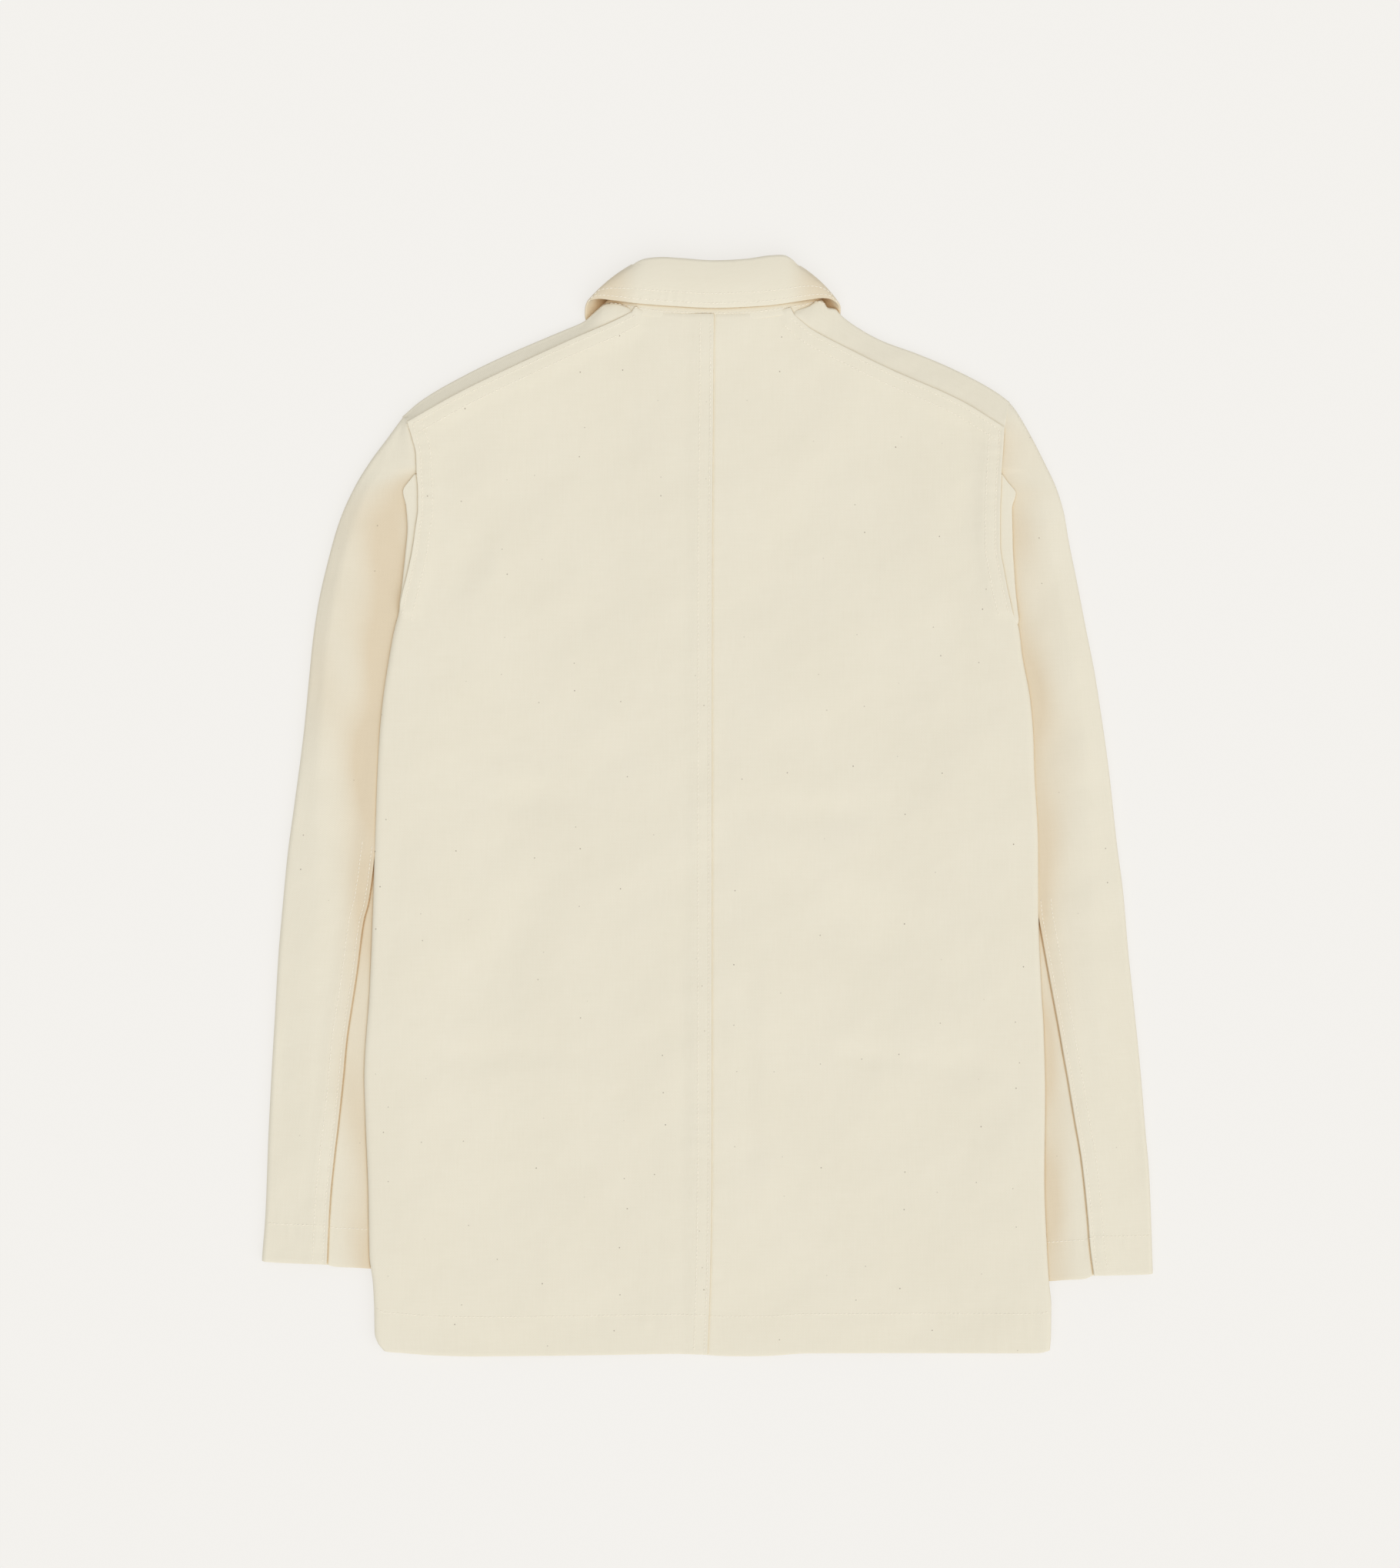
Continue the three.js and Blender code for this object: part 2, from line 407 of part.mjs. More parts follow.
// front panels
const NECK_CLEAR = 0.5; // between the collar's lower edge and the fronts
function frontPanel(side, neckRows) {
  const s = side.sign;
  const turn = side.turn;
  const rowsY = [null, -378, -375, -290, -205, -100, 20, 77, 87, 92, 97, 103, 110, 118, 126, 134, 150];
  // columns: how far out each one starts at the hem, where it ends, and where it turns over the shoulder
  const neckEnd = neckRows[0].neck[1] - NECK_CLEAR;
  const columns = [-PLACKET, -8].map((out) => ({ out, end: [out, neckEnd] }));
  const starts = [2, 26, 41, 56, 68, 78, 88, 100, 112, 124, 136, 148, 160, 174, 190, 206];
  const clearOf = (r) => { // just below the collar's neck seam
    const along = vector(r.roll).sub(vector(r.neck)).setZ(0).normalize();
    return [Math.abs(r.neck[0]) - along.x * s * NECK_CLEAR, r.neck[1] - along.y * NECK_CLEAR];
  };
  for (const r of neckRows.filter((q) => q.side[2] < -0.99)) columns.push({ end: clearOf(r) });
  // over the shoulder beside the neck: part of the turn
  for (const r of neckRows.filter((q) => q.side[2] > 0.99 || Math.abs(q.side[2]) < 0.1)) {
    const degrees = r.side[2] > 0.99 ? 180 : 180 - (Math.acos(r.side[2]) * 180) / Math.PI;
    columns.push({ over: clearOf(r), degrees });
  }
  const corner = [side.shoulder.out[0] + 0.1, side.shoulder.y[0] - 0.5];
  columns.push({ over: corner, degrees: 180 });
  for (const out of [68, 84, 102, 122, 143, 164, 184, 203]) {
    columns.push({ over: [out, look(side.shoulder.out, side.shoulder.y, out)], degrees: 180 });
  }
  columns.push({ over: [side.shoulder.out.at(-1) - 0.4, side.shoulder.y.at(-1) + 0.5], degrees: 180 });
  const overs = columns.filter((c) => c.over);
  const firstTop = overs.findIndex((c) => c.degrees === 180);
  overs.forEach((c, k) => { // places along the line of the turn
    const length = turn.out.length - 1;
    const f = k < firstTop ? 0 : (k - firstTop) / (overs.length - 1 - firstTop);
    const outs = lerp(turn.out[0], turn.out[length], f ** 1.15);
    c.at = [outs, look(turn.out, turn.y, outs)];
    const a = look(turn.out, turn.y, outs - 4);
    const b = look(turn.out, turn.y, outs + 4);
    c.normal = new THREE.Vector2(a - b, 8).normalize();
    if (k < firstTop) { // beside the neck the turn runs up along the collar
      c.normal = new THREE.Vector2(0.76, 0.65);
      c.at = [c.over[0] + 1.2, c.over[1] - 1.0];
    }
  });
  columns.forEach((c, k) => { c.hem = starts[k - 2] ?? c.out ?? 220; });
  const last = columns.length - 1;
  const hemWidth = 222;
  // start of the turned part of each column
  for (const c of columns) {
    if (c.over) {
      const z = frontZ(side, -c.at[0], c.at[1]);
      c.r = (OVER_SLEEVE_Z - z) / 2;
      const back = HALF + c.r;
      c.from = [c.at[0] - c.normal.x * back, c.at[1] - c.normal.y * back];
    } else c.from = [c.end[0], c.end[1] - 6];
  }
  const row = (edgeOut, yOf, lift) => {
    const inner = edgeOut - EDGE_ROLL;
    const points = columns.map((c) => {
      const out = c.hem < 0 ? c.hem : lerp(2, inner, clamp((c.hem - 2) / (hemWidth - 2)));
      return [out, yOf(out)];
    });
    return { points, inner, edgeOut, lift };
  };
  const grid = [];
  const push = (made) => {
    const list = made.points.map(([out, y]) => [s * out, y, frontZ(side, -out, y)]);
    const [, y] = made.points.at(-1);
    const z0 = frontZ(side, -made.inner, y);
    for (let k = 1; k <= ROLL_STEPS; k++) {
      const a = (k / ROLL_STEPS) * (Math.PI / 2);
      const rise = 1.45 * made.lift;
      const out = lerp(made.inner + (EDGE_ROLL * k) / ROLL_STEPS,
        made.edgeOut - EDGE_ROLL + (EDGE_ROLL - HALF) * Math.sin(a), made.lift);
      list.push([s * out, y, z0 + rise * (1 - Math.cos(a))]);
    }
    grid.push(list);
  };
  for (const y of rowsY) {
    const edgeY = y === null ? side.edge.y.at(-1) : y;
    const edgeOut = edgeY > 80 ? outAt(UNDERARM, edgeY) : outAt(side.edge, edgeY);
    push(row(edgeOut, (out) => (y === null ? look(side.hem.out, side.hem.y, out) : y), edgeY < 80 ? 1 : 0));
  }
  // from the chest to the neck and the shoulder
  const chest = row(outAt(UNDERARM, 150), () => 150, 0);
  for (const up of [0.3, 0.55, 0.8, 1]) {
    const list = columns.map((c, k) => {
      const [out, y] = [lerp(chest.points[k][0], c.from[0], up), lerp(chest.points[k][1], c.from[1], up)];
      return [s * out, y, frontZ(side, -out, y)];
    });
    const tip = outAt(side.frontArmhole, lerp(150, columns[last].from[1], up));
    for (let k = 1; k <= ROLL_STEPS; k++) {
      const f = k / ROLL_STEPS;
      const out = lerp(Math.abs(list[last][0]), tip, f);
      list.push([s * out, list[last][1], list[last][2]]);
    }
    grid.push(list);
  }
  // over the shoulder
  const TAIL = 6;
  for (let t = 1; t <= TAIL; t++) {
    const list = columns.map((c) => {
      if (!c.over) {
        const f = t / TAIL;
        const [out, y] = [lerp(c.from[0], c.end[0], f), lerp(c.from[1], c.end[1], f)];
        return [s * out, y, frontZ(side, -out, y)];
      }
      const low = OVER_SLEEVE_Z - 2 * c.r;
      if (c.degrees < 180 || t <= 4) {
        const a = (c.degrees * Math.PI) / 180 * (c.degrees < 180 ? t / TAIL : t / 4);
        const out = c.from[0] + c.normal.x * c.r * Math.sin(a);
        const y = c.from[1] + c.normal.y * c.r * Math.sin(a);
        return [s * out, y, low + c.r * (1 - Math.cos(a))];
      }
      const f = (t - 4) / (TAIL - 4);
      return [s * lerp(c.from[0], c.over[0], f), lerp(c.from[1], c.over[1], f), OVER_SLEEVE_Z];
    });
    const end = list[last];
    const before = list[last - 1];
    for (let k = 1; k <= ROLL_STEPS; k++) {
      list.push([end[0] + s * 0.08 * k, end[1] + (end[1] - before[1]) * 0.02 * k, end[2]]);
    }
    grid.push(list);
  }
  return solid(wall(grid, HALF, s > 0, hemCloth));
}
add("front_left", frontPanel(LEFT, [...leftFront].reverse().concat([...leftFold].reverse())));
add("front_right", frontPanel(RIGHT, [...rightFront].reverse().concat([...rightFold].reverse())));

// sleeves
const FOLD_STEPS = 6;
const SLEEVE_ROWS = [-350, -290, -235, -180, -120, -60, 0, 50, 95];
const CAP_ROWS = [114, 190, 210, 226, 238, 244.4, 245.6, 256];
// top layer of a sleeve: low beside the body, fuller beyond it, level with the back at the shoulder
function sleeveZ(side, out, y) {
  const inner = y > 141 ? Math.max(outAt(side.edge, y), outAt(side.tuck, y)) + 4 : outAt(side.edge, y) + 2;
  const outer = outAt(side.sleeve, y);
  const v = clamp((out - inner) / Math.max(8, outer - inner));
  const shoulder = (OVER_SLEEVE_Z - SLEEVE_TOP_Z) * smooth((y - 246) / 18);
  const fade = 1 - smooth((y - 236) / 24);
  return SLEEVE_TOP_Z + shoulder + SLEEVE_CROWN * Math.sin(Math.PI * v) * fade;
}
// points from one end of the upper layer, round the fold at "fold", to the end of the layer on the floor
function sleevePath(side, y, top, fold, low, count) {
  const way = Math.sign(fold - top);
  const turnZ = sleeveZ(side, fold - way * 2.6, y);
  const r = (turnZ - FLOOR_Z) / 2;
  const start = fold - way * (HALF + r);
  const path = [];
  for (let k = 0; k < count; k++) {
    const out = lerp(top, start, k / count);
    path.push([out, sleeveZ(side, out, y)]);
  }
  for (let k = 0; k <= FOLD_STEPS; k++) {
    const a = (k / FOLD_STEPS) * Math.PI;
    path.push([start + way * r * Math.sin(a), FLOOR_Z + r + r * Math.cos(a)]);
  }
  for (let k = 1; k <= 3; k++) path.push([lerp(start, low, k / 3), FLOOR_Z]);
  return path;
}
function sleeveRows(side, rowsY, top, fold, low, count) {
  return rowsY.map((row) => {
    const turned = row.turned; // height above the cuff, for the rows that follow its edge
    const y0 = turned === undefined ? row : look(side.cuff.out, side.cuff.y, 300) + turned;
    return sleevePath(side, y0, top(y0), fold(y0), low(y0), count).map(([out, z]) => [
      side.sign * out, turned === undefined ? y0 : look(side.cuff.out, side.cuff.y, out) + turned, z,
    ]);
  });
}
const cuffRows = [{ turned: 0 }, { turned: CUFF_TURN - 1 }, { turned: CUFF_TURN + 1 }];
const cuffCloth = (side) => (x, y) =>
  (y < look(side.cuff.out, side.cuff.y, Math.abs(x)) + CUFF_TURN ? CUFF_EXTRA : 0);
const frontArmhole = (side, y) => (y < 150 ? 0 : outAt(side.frontArmhole, y) + 0.4);
function sleeveUpper(side) {
  const cap = [...armholeRows(side), ...CAP_ROWS, ...side.cap.y.filter((y) => y > 277)]
    .sort((a, b) => a - b).filter((y, k, all) => k === 0 || y - all[k - 1] > 0.9);
  const rows = [...cuffRows, ...SLEEVE_ROWS.slice(1), ...cap];
  const shoulderY = side.shoulder.y.at(-1) - SEAM;
  const top = (y) => {
    if (y < 244.5) return outAt(side.seam, y) + SEAM / 2;
    return (y > shoulderY ? outAt(side.cap, y) : armholeOut(side, y)) + SEAM / 2;
  };
  const low = (y) => Math.max(outAt(FRONT_SEAM, y) + SEAM / 2, frontArmhole(side, y));
  const grid = sleeveRows(side, rows, top, (y) => outAt(side.sleeve, y), low, 5);
  return solid(wall(grid, HALF, side.sign < 0, cuffCloth(side)));
}
// a flat strip of cloth between two tables of distances out
const strip = (side, ys, inner, outer, z, half = HALF) => solid(wall(ys.map((y) =>
  [0, 1].map((f) => [side.sign * lerp(inner(y), outer(y), f), y, z])), half));
function sleeveUnder(side) {
  const rows = [...cuffRows, ...SLEEVE_ROWS.slice(1)];
  const back = (y) => outAt(side.seam, y) - SEAM / 2;
  const low = (y) => outAt(FRONT_SEAM, y) - SEAM / 2;
  const tube = solid(wall(sleeveRows(side, rows, back, (y) => outAt(INNER_FOLD, y), low, 5),
    HALF, side.sign > 0, cuffCloth(side)));
  const floor = strip(side, SLEEVE_FLOOR.y, (y) => outAt(SLEEVE_FLOOR, y), low, FLOOR_Z);
  const tongue = strip(side, [93, 96.5, 104, 116, 124, 150, 190, 218, 238],
    (y) => outAt(SLEEVE_TONGUE, y), (y) => back(y) - (y > 95 ? 0.6 : 0), SLEEVE_TOP_Z);
  const armhole = (y) => armholeOut(side, y) + SEAM / 2;
  const tuckRows = [...side.tuck.y, ...armholeRows(side).filter((y) => y > side.tuck.y.at(-1) && y < 243)]
    .sort((a, b) => a - b);
  const fold = strip(side, tuckRows, armhole, (y) => outAt(side.tuck, y), OVER_SLEEVE_Z);
  const rib = strip(side, [188, 204, 218, 234], (y) => armhole(y) + 0.8, (y) => back(y) - 0.9,
    (OVER_SLEEVE_Z + SLEEVE_TOP_Z) / 2, 0.5);
  return wasm.Manifold.union([tube, floor, tongue, fold, rib]);
}
for (const [side, word] of [[LEFT, "left"], [RIGHT, "right"]]) {
  add("sleeve_upper_" + word, sleeveUpper(side));
  add("sleeve_under_" + word, sleeveUnder(side));
}

// buttons
function solidOf(geometry) {
  const plain = new THREE.BufferGeometry();
  const flat = geometry.index ? geometry.toNonIndexed() : geometry;
  plain.setAttribute("position", flat.getAttribute("position"));
  const merged = mergeVertices(plain, 1e-3);
  return new wasm.Manifold(new wasm.Mesh({
    numProp: 3,
    vertProperties: merged.attributes.position.array,
    triVerts: new Uint32Array(merged.index.array),
  }));
}
{
  const { diameter, rim, dish, hole, spread } = BUTTONS;
  const R = diameter / 2;
  const profile = [
    [0, 0.6], [R - 3.2, 0.6], [R - 2.4, 0], [R - 0.5, 0], [R, 0.5], [R, dish], [R - 1.2, rim], [0, rim],
  ].map(([r, z]) => new THREE.Vector2(r, z));
  const body = solidOf(new THREE.LatheGeometry(profile, 16).rotateX(Math.PI / 2));
  const holes = [0, 1, 2, 3].map((k) => {
    const a = Math.PI / 4 + (k * Math.PI) / 2;
    return solidOf(new THREE.CylinderGeometry(hole / 2, hole / 2, 6, 6).rotateX(Math.PI / 2)
      .translate(spread / 2 * Math.cos(a) * 1.4, spread / 2 * Math.sin(a) * 1.4, 1));
  });
  const button = wasm.Manifold.difference([body, ...holes]);
  BUTTONS.y.forEach((y, k) => add("button_" + (k + 1), button.translate([0, y, 0]), shell));
}

export default group;
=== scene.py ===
import math

import bmesh
import bpy
import numpy as np
from mathutils import Euler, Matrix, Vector
from mathutils.bvhtree import BVHTree


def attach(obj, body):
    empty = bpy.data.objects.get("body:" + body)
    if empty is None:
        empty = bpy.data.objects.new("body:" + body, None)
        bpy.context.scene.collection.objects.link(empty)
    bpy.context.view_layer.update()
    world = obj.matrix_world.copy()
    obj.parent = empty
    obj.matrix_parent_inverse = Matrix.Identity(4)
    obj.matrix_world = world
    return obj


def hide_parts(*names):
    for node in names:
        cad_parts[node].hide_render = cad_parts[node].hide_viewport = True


# Chore jacket, laid flat with its back up. Lengths are millimetres until a mesh is made:
# x to the wearer's right, y to the collar, z up. "out" is the distance from the centre line.

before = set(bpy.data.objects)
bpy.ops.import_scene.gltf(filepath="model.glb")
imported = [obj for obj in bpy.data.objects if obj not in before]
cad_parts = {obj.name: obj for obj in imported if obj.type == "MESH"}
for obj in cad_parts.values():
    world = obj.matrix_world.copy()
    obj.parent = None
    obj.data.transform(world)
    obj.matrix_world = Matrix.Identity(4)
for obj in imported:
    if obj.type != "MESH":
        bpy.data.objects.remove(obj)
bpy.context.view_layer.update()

CLOTH = 0.9  # thickness of the canvas
COLLAR_CLOTH = 1.7  # and of the collar, which is two layers
LAP = 1.0  # step of a felled seam
BAND = 11.0  # width of a felled seam
TURN = 28.0  # turned-up hem and cuffs
FLOOR_Z = 0.6  # middle of the cloth that lies on the floor
SLEEVE_LOW = 4.0  # middle of a sleeve's upper layer, under the body
SLEEVE_RISE = 2.9  # how much higher it is just outside the body
SLEEVE_FOLD = 6.6  # middle of the upper layer where the sleeve folds over at its outer edge
FRONT_TOP = 5.6  # middle of a front's upper layer at the shoulder
BACK_MID = 7.2  # middle of the back, between the sides
CENTRE_RISE = 1.1  # how much higher the back is over the closed fronts
SHOULDER_RISE = 2.2  # and below the shoulder seams
SIDE_FLOOR = 7.9  # where the back's rolled side edge ends
EDGE_ROUND = 4.5  # width of that roll

HEM_Y = -405.0  # first row of the back
BEND_Y = 200.0  # from here up, the back's rows bend to the shoulder line
NECK_Y = 357.0  # middle of the neck seam
ARM_Y = 141  # lower end of the armholes
UNDER_TOP_Y = 243.5  # upper end of the seam along the back of a sleeve
SLANT = 0.9  # distance to a shoulder seam for each millimetre below it
FOLD_STEPS = 6  # rows round a turned-up edge
BUTTONS = 5


def smooth(v):
    c = np.clip(v, 0, 1)
    return c * c * (3 - 2 * c)


def lerp(a, b, f):
    return a + (b - a) * f


def bell(v):
    """1 at 0, and down to 0 on both sides."""
    return np.exp(-(v ** 2))


def between(t, h, value, slope, next_value, next_slope):
    """Value at share t of a stretch h long, from what it has at both ends."""
    return ((1 + 2 * t) * (1 - t) ** 2 * value + t * (1 - t) ** 2 * h * slope
            + t * t * (3 - 2 * t) * next_value + t * t * (t - 1) * h * next_slope)


def curve(at, value):
    """Smooth curve through the points, with no overshoot."""
    x, y = np.array(at, float), np.array(value, float)
    if x[0] > x[-1]:
        x, y = x[::-1], y[::-1]
    h = np.diff(x)
    d = np.diff(y) / h
    slope = np.zeros(len(x))
    slope[0], slope[-1] = d[0], d[-1]
    for k in range(1, len(x) - 1):
        if d[k - 1] * d[k] > 0:
            a, b = 2 * h[k] + h[k - 1], h[k] + 2 * h[k - 1]
            slope[k] = (a + b) / (a / d[k - 1] + b / d[k])

    def value_at(v):
        v = np.clip(v, x[0], x[-1])
        k = np.clip(np.searchsorted(x, v, side="right") - 1, 0, len(h) - 1)
        return between((v - x[k]) / h[k], h[k], y[k], slope[k], y[k + 1], slope[k + 1])
    return value_at


class Side:
    """One half of the jacket: its lines and heights, each a smooth curve through a few points."""
    def __init__(self, sign, **tables):
        self.sign = sign
        for name, (at, value) in tables.items():
            setattr(self, name, curve(at, value))
        seam_out, seam_y = tables["shoulder"]
        self.neck_out, self.shoulder_out, self.shoulder_y = seam_out[0], seam_out[-1], seam_y[-1]
        self.strip_out = tables["ridge"][0][-1]
        self.tuck_low = tables["tuck"][0][-1]
        self.cap_y = tables["cap"][0][0] - 0.4
        self.cuff_y = float(self.cuff(300.0))


LEFT = Side(
    -1,
    # y, out: the armhole seam and then the side edge, the sleeve's outer edge, the seam along its back,
    # and the fold beside the armhole
    edge=([281.6, 270, 258, 245, 231, 218, 204, 190, 170, 156, 141, 130, 109, 77, 50, 25, -30, -80,
           -138, -202, -232, -290, -333, -354, -372, -394, -401, -405],
          [221.1, 217.5, 214.6, 214.2, 213.2, 213.2, 215, 216.9, 221, 224.6, 228, 231, 234.9, 239.7,
           242.3, 243.7, 245.6, 247.2, 249.6, 253.5, 252.6, 250.4, 249.7, 247, 246.1, 245.7, 243.5, 239]),
    sleeve=([286, 285, 270, 253.6, 234.7, 208.6, 178, 148.9, 119.9, 90.8, 53, -2.8, -35.9, -74, -111,
             -155.6, -202, -246, -304, -337.4],
            [225.6, 226.4, 237.5, 249.7, 261.3, 272.9, 281.6, 288.2, 292.5, 295.4, 299.1, 306.4, 310.9,
             314.6, 317.8, 320.4, 323.1, 325.3, 327.5, 330]),
    seam=([244, 238, 231, 218, 204, 184, 170, 152, 141, 120, 95, 66, 0, -38.5, -54, -74, -85.5, -124,
           -149, -175, -202, -236, -260.5, -290, -310, -339.4],
          [214.7, 216, 218, 218, 218.4, 220, 221.8, 223.5, 224.5, 226.5, 228, 232, 241, 246.6, 248.5,
           251.7, 254.8, 260, 263.8, 267.6, 270.1, 273.7, 276.6, 279.5, 280.7, 282]),
    tuck=([243.5, 240, 237, 233, 231, 220, 204, 184, 170, 158, 146],
          [216.3, 219, 221.5, 224.3, 224.8, 222.6, 221.5, 223.2, 224.6, 226, 227.8]),
    # out, y: the cuff, the shoulder seam, where the front turns over, and the line of its edge
    cuff=([150, 249.3, 259.3, 274.5, 282.8, 292, 316.2, 330],
          [-342.5, -342.5, -341.9, -341.2, -339.4, -339, -338.3, -337.4]),
    shoulder=([53.6, 68.4, 95.8, 136.3, 183.5, 221.1], [363.7, 356.2, 344.3, 325.7, 302.8, 281.6]),
    turn=([83, 92, 117.4, 145.3, 179.5, 212.6, 225.6], [360.5, 355.6, 345.4, 333.4, 316.9, 297.5, 286.4]),
    ridge=([53.6, 57, 62, 66, 70, 74, 77, 79.5, 84, 90.2, 92, 104, 117.4, 145.3, 179.5, 212.6, 225.6],
           [363.6, 366, 368.3, 369.6, 370, 369.6, 368.8, 366.8, 362.9, 357.4, 356.2, 351, 345.4, 333.4,
            316.9, 297.5, 286.4]),
    ridge_z=([53.6, 62, 70, 77, 84, 92, 110, 225], [9.9, 9.7, 9.2, 8.4, 6.8, 5.8, 5.4, 5.2]),
    # y, out: the armhole under the jacket, and the top of the sleeve over the shoulder
    front_arm=([150, 284], [204, 224.8]),
    cap=([285.6, 281.2, 270, 258, 245], [224.4, 221.2, 217.5, 214.6, 214.2]),
    hem=([-8, 0, 25, 68, 171, 204, 226, 238.8, 246],
         [-405.4, -405.8, -405.4, -406.3, -407.4, -406.4, -404.7, -403.7, -400]),
    neck=([0.4, 16.9, 33.5, 47.4, 53.6], [357.7, 357.9, 359.1, 359.9, 363.4]),
    # height of the back beside its edge
    height=([281, 262, 245, 220, 200, 170, 141, 100, 60, -20, -100, -250, -405],
            [7.6, 7.9, 8.5, 9.2, 9.6, 10, 10.3, 10.5, 10.5, 10.3, 10.1, 9.9, 9.8]),
    # how wide and how strong the painted warm shade is beside the body
    painted_shade_wide=([245, 225, 200, 150, 100, 40, -20, -120, -340], [14, 28, 40, 44, 42, 32, 22, 17, 15]),
    tone=([250, 236, 215, 100, 0, -340], [0, 0.7, 1, 1, 1, 1]),
    # top of the sleeve, and where it lies across it
    crown=([281, 262, 240, 215, 180, 120, 50, -40, -150, -345],
           [7, 7.4, 8.4, 9.8, 10.8, 11, 10.4, 9.4, 8.8, 8.4]),
    peak=([281, 240, 200, 150, 60, -20, -120, -345], [0.62, 0.7, 0.8, 0.84, 0.8, 0.7, 0.62, 0.6]),
)
RIGHT = Side(
    1,
    edge=([277.5, 266, 245, 231, 218, 204, 190, 174, 156, 141, 130, 109, 77, 50, 25, -30, -80, -138,
           -165, -216, -275, -333, -354, -370, -394, -405],
          [218.2, 217.6, 216.1, 215.6, 215.1, 215, 215.1, 217.6, 221, 225, 229.4, 232.2, 238, 240.3,
           241.1, 243.9, 244.1, 246.3, 247.9, 249.1, 248.5, 250.6, 252, 253.5, 253.3, 252.5]),
    sleeve=([297.2, 294, 279, 253.3, 233.1, 215.7, 195.5, 159, 128.6, 99.5, 72, 25.6, -31, -65.7, -110,
             -146, -202, -240, -275, -346.7],
            [223.2, 226, 235.5, 249, 258.4, 263.7, 267.2, 274.5, 280.3, 286.1, 290.5, 297, 303.2, 307.7,
             311.5, 315.3, 320.9, 324, 327, 329.6]),
    seam=([243, 238, 231, 218, 204, 190, 174, 156, 141, 120, 95, 66, 0, -40, -79.7, -99, -130.5, -161,
           -190, -202, -230, -263, -304, -329, -347.5],
          [216.5, 217.6, 219, 219, 219.2, 219.6, 221.5, 223.5, 225, 226.5, 228, 231, 237.5, 241.3,
           244.5, 247.9, 253.6, 259.3, 264.4, 266.6, 271.2, 276.8, 281.2, 283.3, 285.8]),
    tuck=([243, 238, 234, 230, 218, 204, 190, 174, 156, 141, 134],
          [217.5, 221, 224.4, 227.3, 224.5, 224.8, 225.1, 226, 227.3, 229, 230]),
    cuff=([150, 252.5, 263.7, 278.3, 285.5, 313.2, 329.6],
          [-351.8, -351.8, -350.9, -350.1, -347.5, -347.3, -346.7]),
    shoulder=([61.3, 76.4, 95.2, 132.6, 187.9, 218.2], [362.5, 349.8, 339.6, 321, 296.2, 277.5]),
    turn=([90, 98, 127.9, 154.8, 181.7, 213, 222], [365, 359.5, 342.7, 332.7, 321.3, 304.5, 298]),
    ridge=([61.3, 66, 69.8, 74.1, 78.4, 81.5, 83.8, 85.8, 88.4, 94.1, 98.2, 108, 127.9, 154.8, 181.7,
            213, 222.9],
           [362.7, 365, 366.2, 367.7, 370.5, 372, 372.2, 370.5, 366.8, 365.9, 361.4, 353.9, 342.7, 332.7,
            321.3, 304.5, 297.2]),
    ridge_z=([61.3, 70, 78, 86, 93, 100, 118, 222], [9.8, 9.4, 9, 8.2, 7, 6, 5.4, 5.2]),
    front_arm=([150, 295], [204, 221.2]),
    cap=([297, 293.5, 290.5, 278.7, 267, 256, 245], [222.8, 222.4, 221.9, 219, 217.7, 217, 216.2]),
    hem=([-8, 0.3, 19, 40, 74, 188, 243, 253],
         [-405.4, -406.3, -407.1, -407.1, -405.2, -404.9, -404.7, -403]),
    neck=([0.4, 21.7, 49.4, 61.3], [357.7, 357.8, 359.8, 362.5]),
    height=([281, 262, 245, 220, 200, 170, 141, 100, 60, -20, -100, -250, -405],
            [7.6, 8.2, 8.9, 9.4, 9.7, 9.9, 10.1, 10.2, 10.2, 10, 9.9, 9.8, 9.8]),
    # how wide and how strong the painted warm shade is beside the body
    painted_shade_wide=([285, 262, 225, 190, 120, 40, -60, -340], [12, 20, 16, 18, 22, 21, 17, 15]),
    tone=([290, 268, 240, 220, 190, 120, 60, -340], [0, 0.8, 0.5, 0.6, 0.9, 0.9, 1, 1]),
    crown=([294, 262, 240, 215, 180, 120, 50, -40, -150, -345],
           [7, 7.2, 7.8, 8.8, 9.6, 9.8, 9.6, 9.2, 8.8, 8.4]),
    peak=([294, 240, 200, 150, 60, -20, -120, -345], [0.6, 0.62, 0.66, 0.72, 0.74, 0.68, 0.62, 0.6]),
)
SIDES = ((LEFT, "left"), (RIGHT, "right"))

# the same on both sides, y, out: the sleeve's inner fold, the seam under it, and the inner ends of the
# under sleeve's two layers beside the armhole
inner_fold = curve([-345, -202, 0, 95], [196, 178, 162, 153])
front_seam = curve([-345, -100, 95, 140, 165, 170], [240, 232, 224, 214, 207, 190])
tongue_in = curve([93, 96.5, 104, 116, 124, 150, 243], [200, 219.9, 214, 209, 208, 206, 211])
floor_in = curve([94, 103, 110, 116, 119, 124, 130, 150, 160],
                 [157, 165, 178, 196, 208.4, 207.6, 205.8, 204.6, 206.1])
back_seam_x = curve([357.6, 276, 197, -259, -340, -406], [4.8, 4.3, 3.4, 3.0, 2.2, 0])

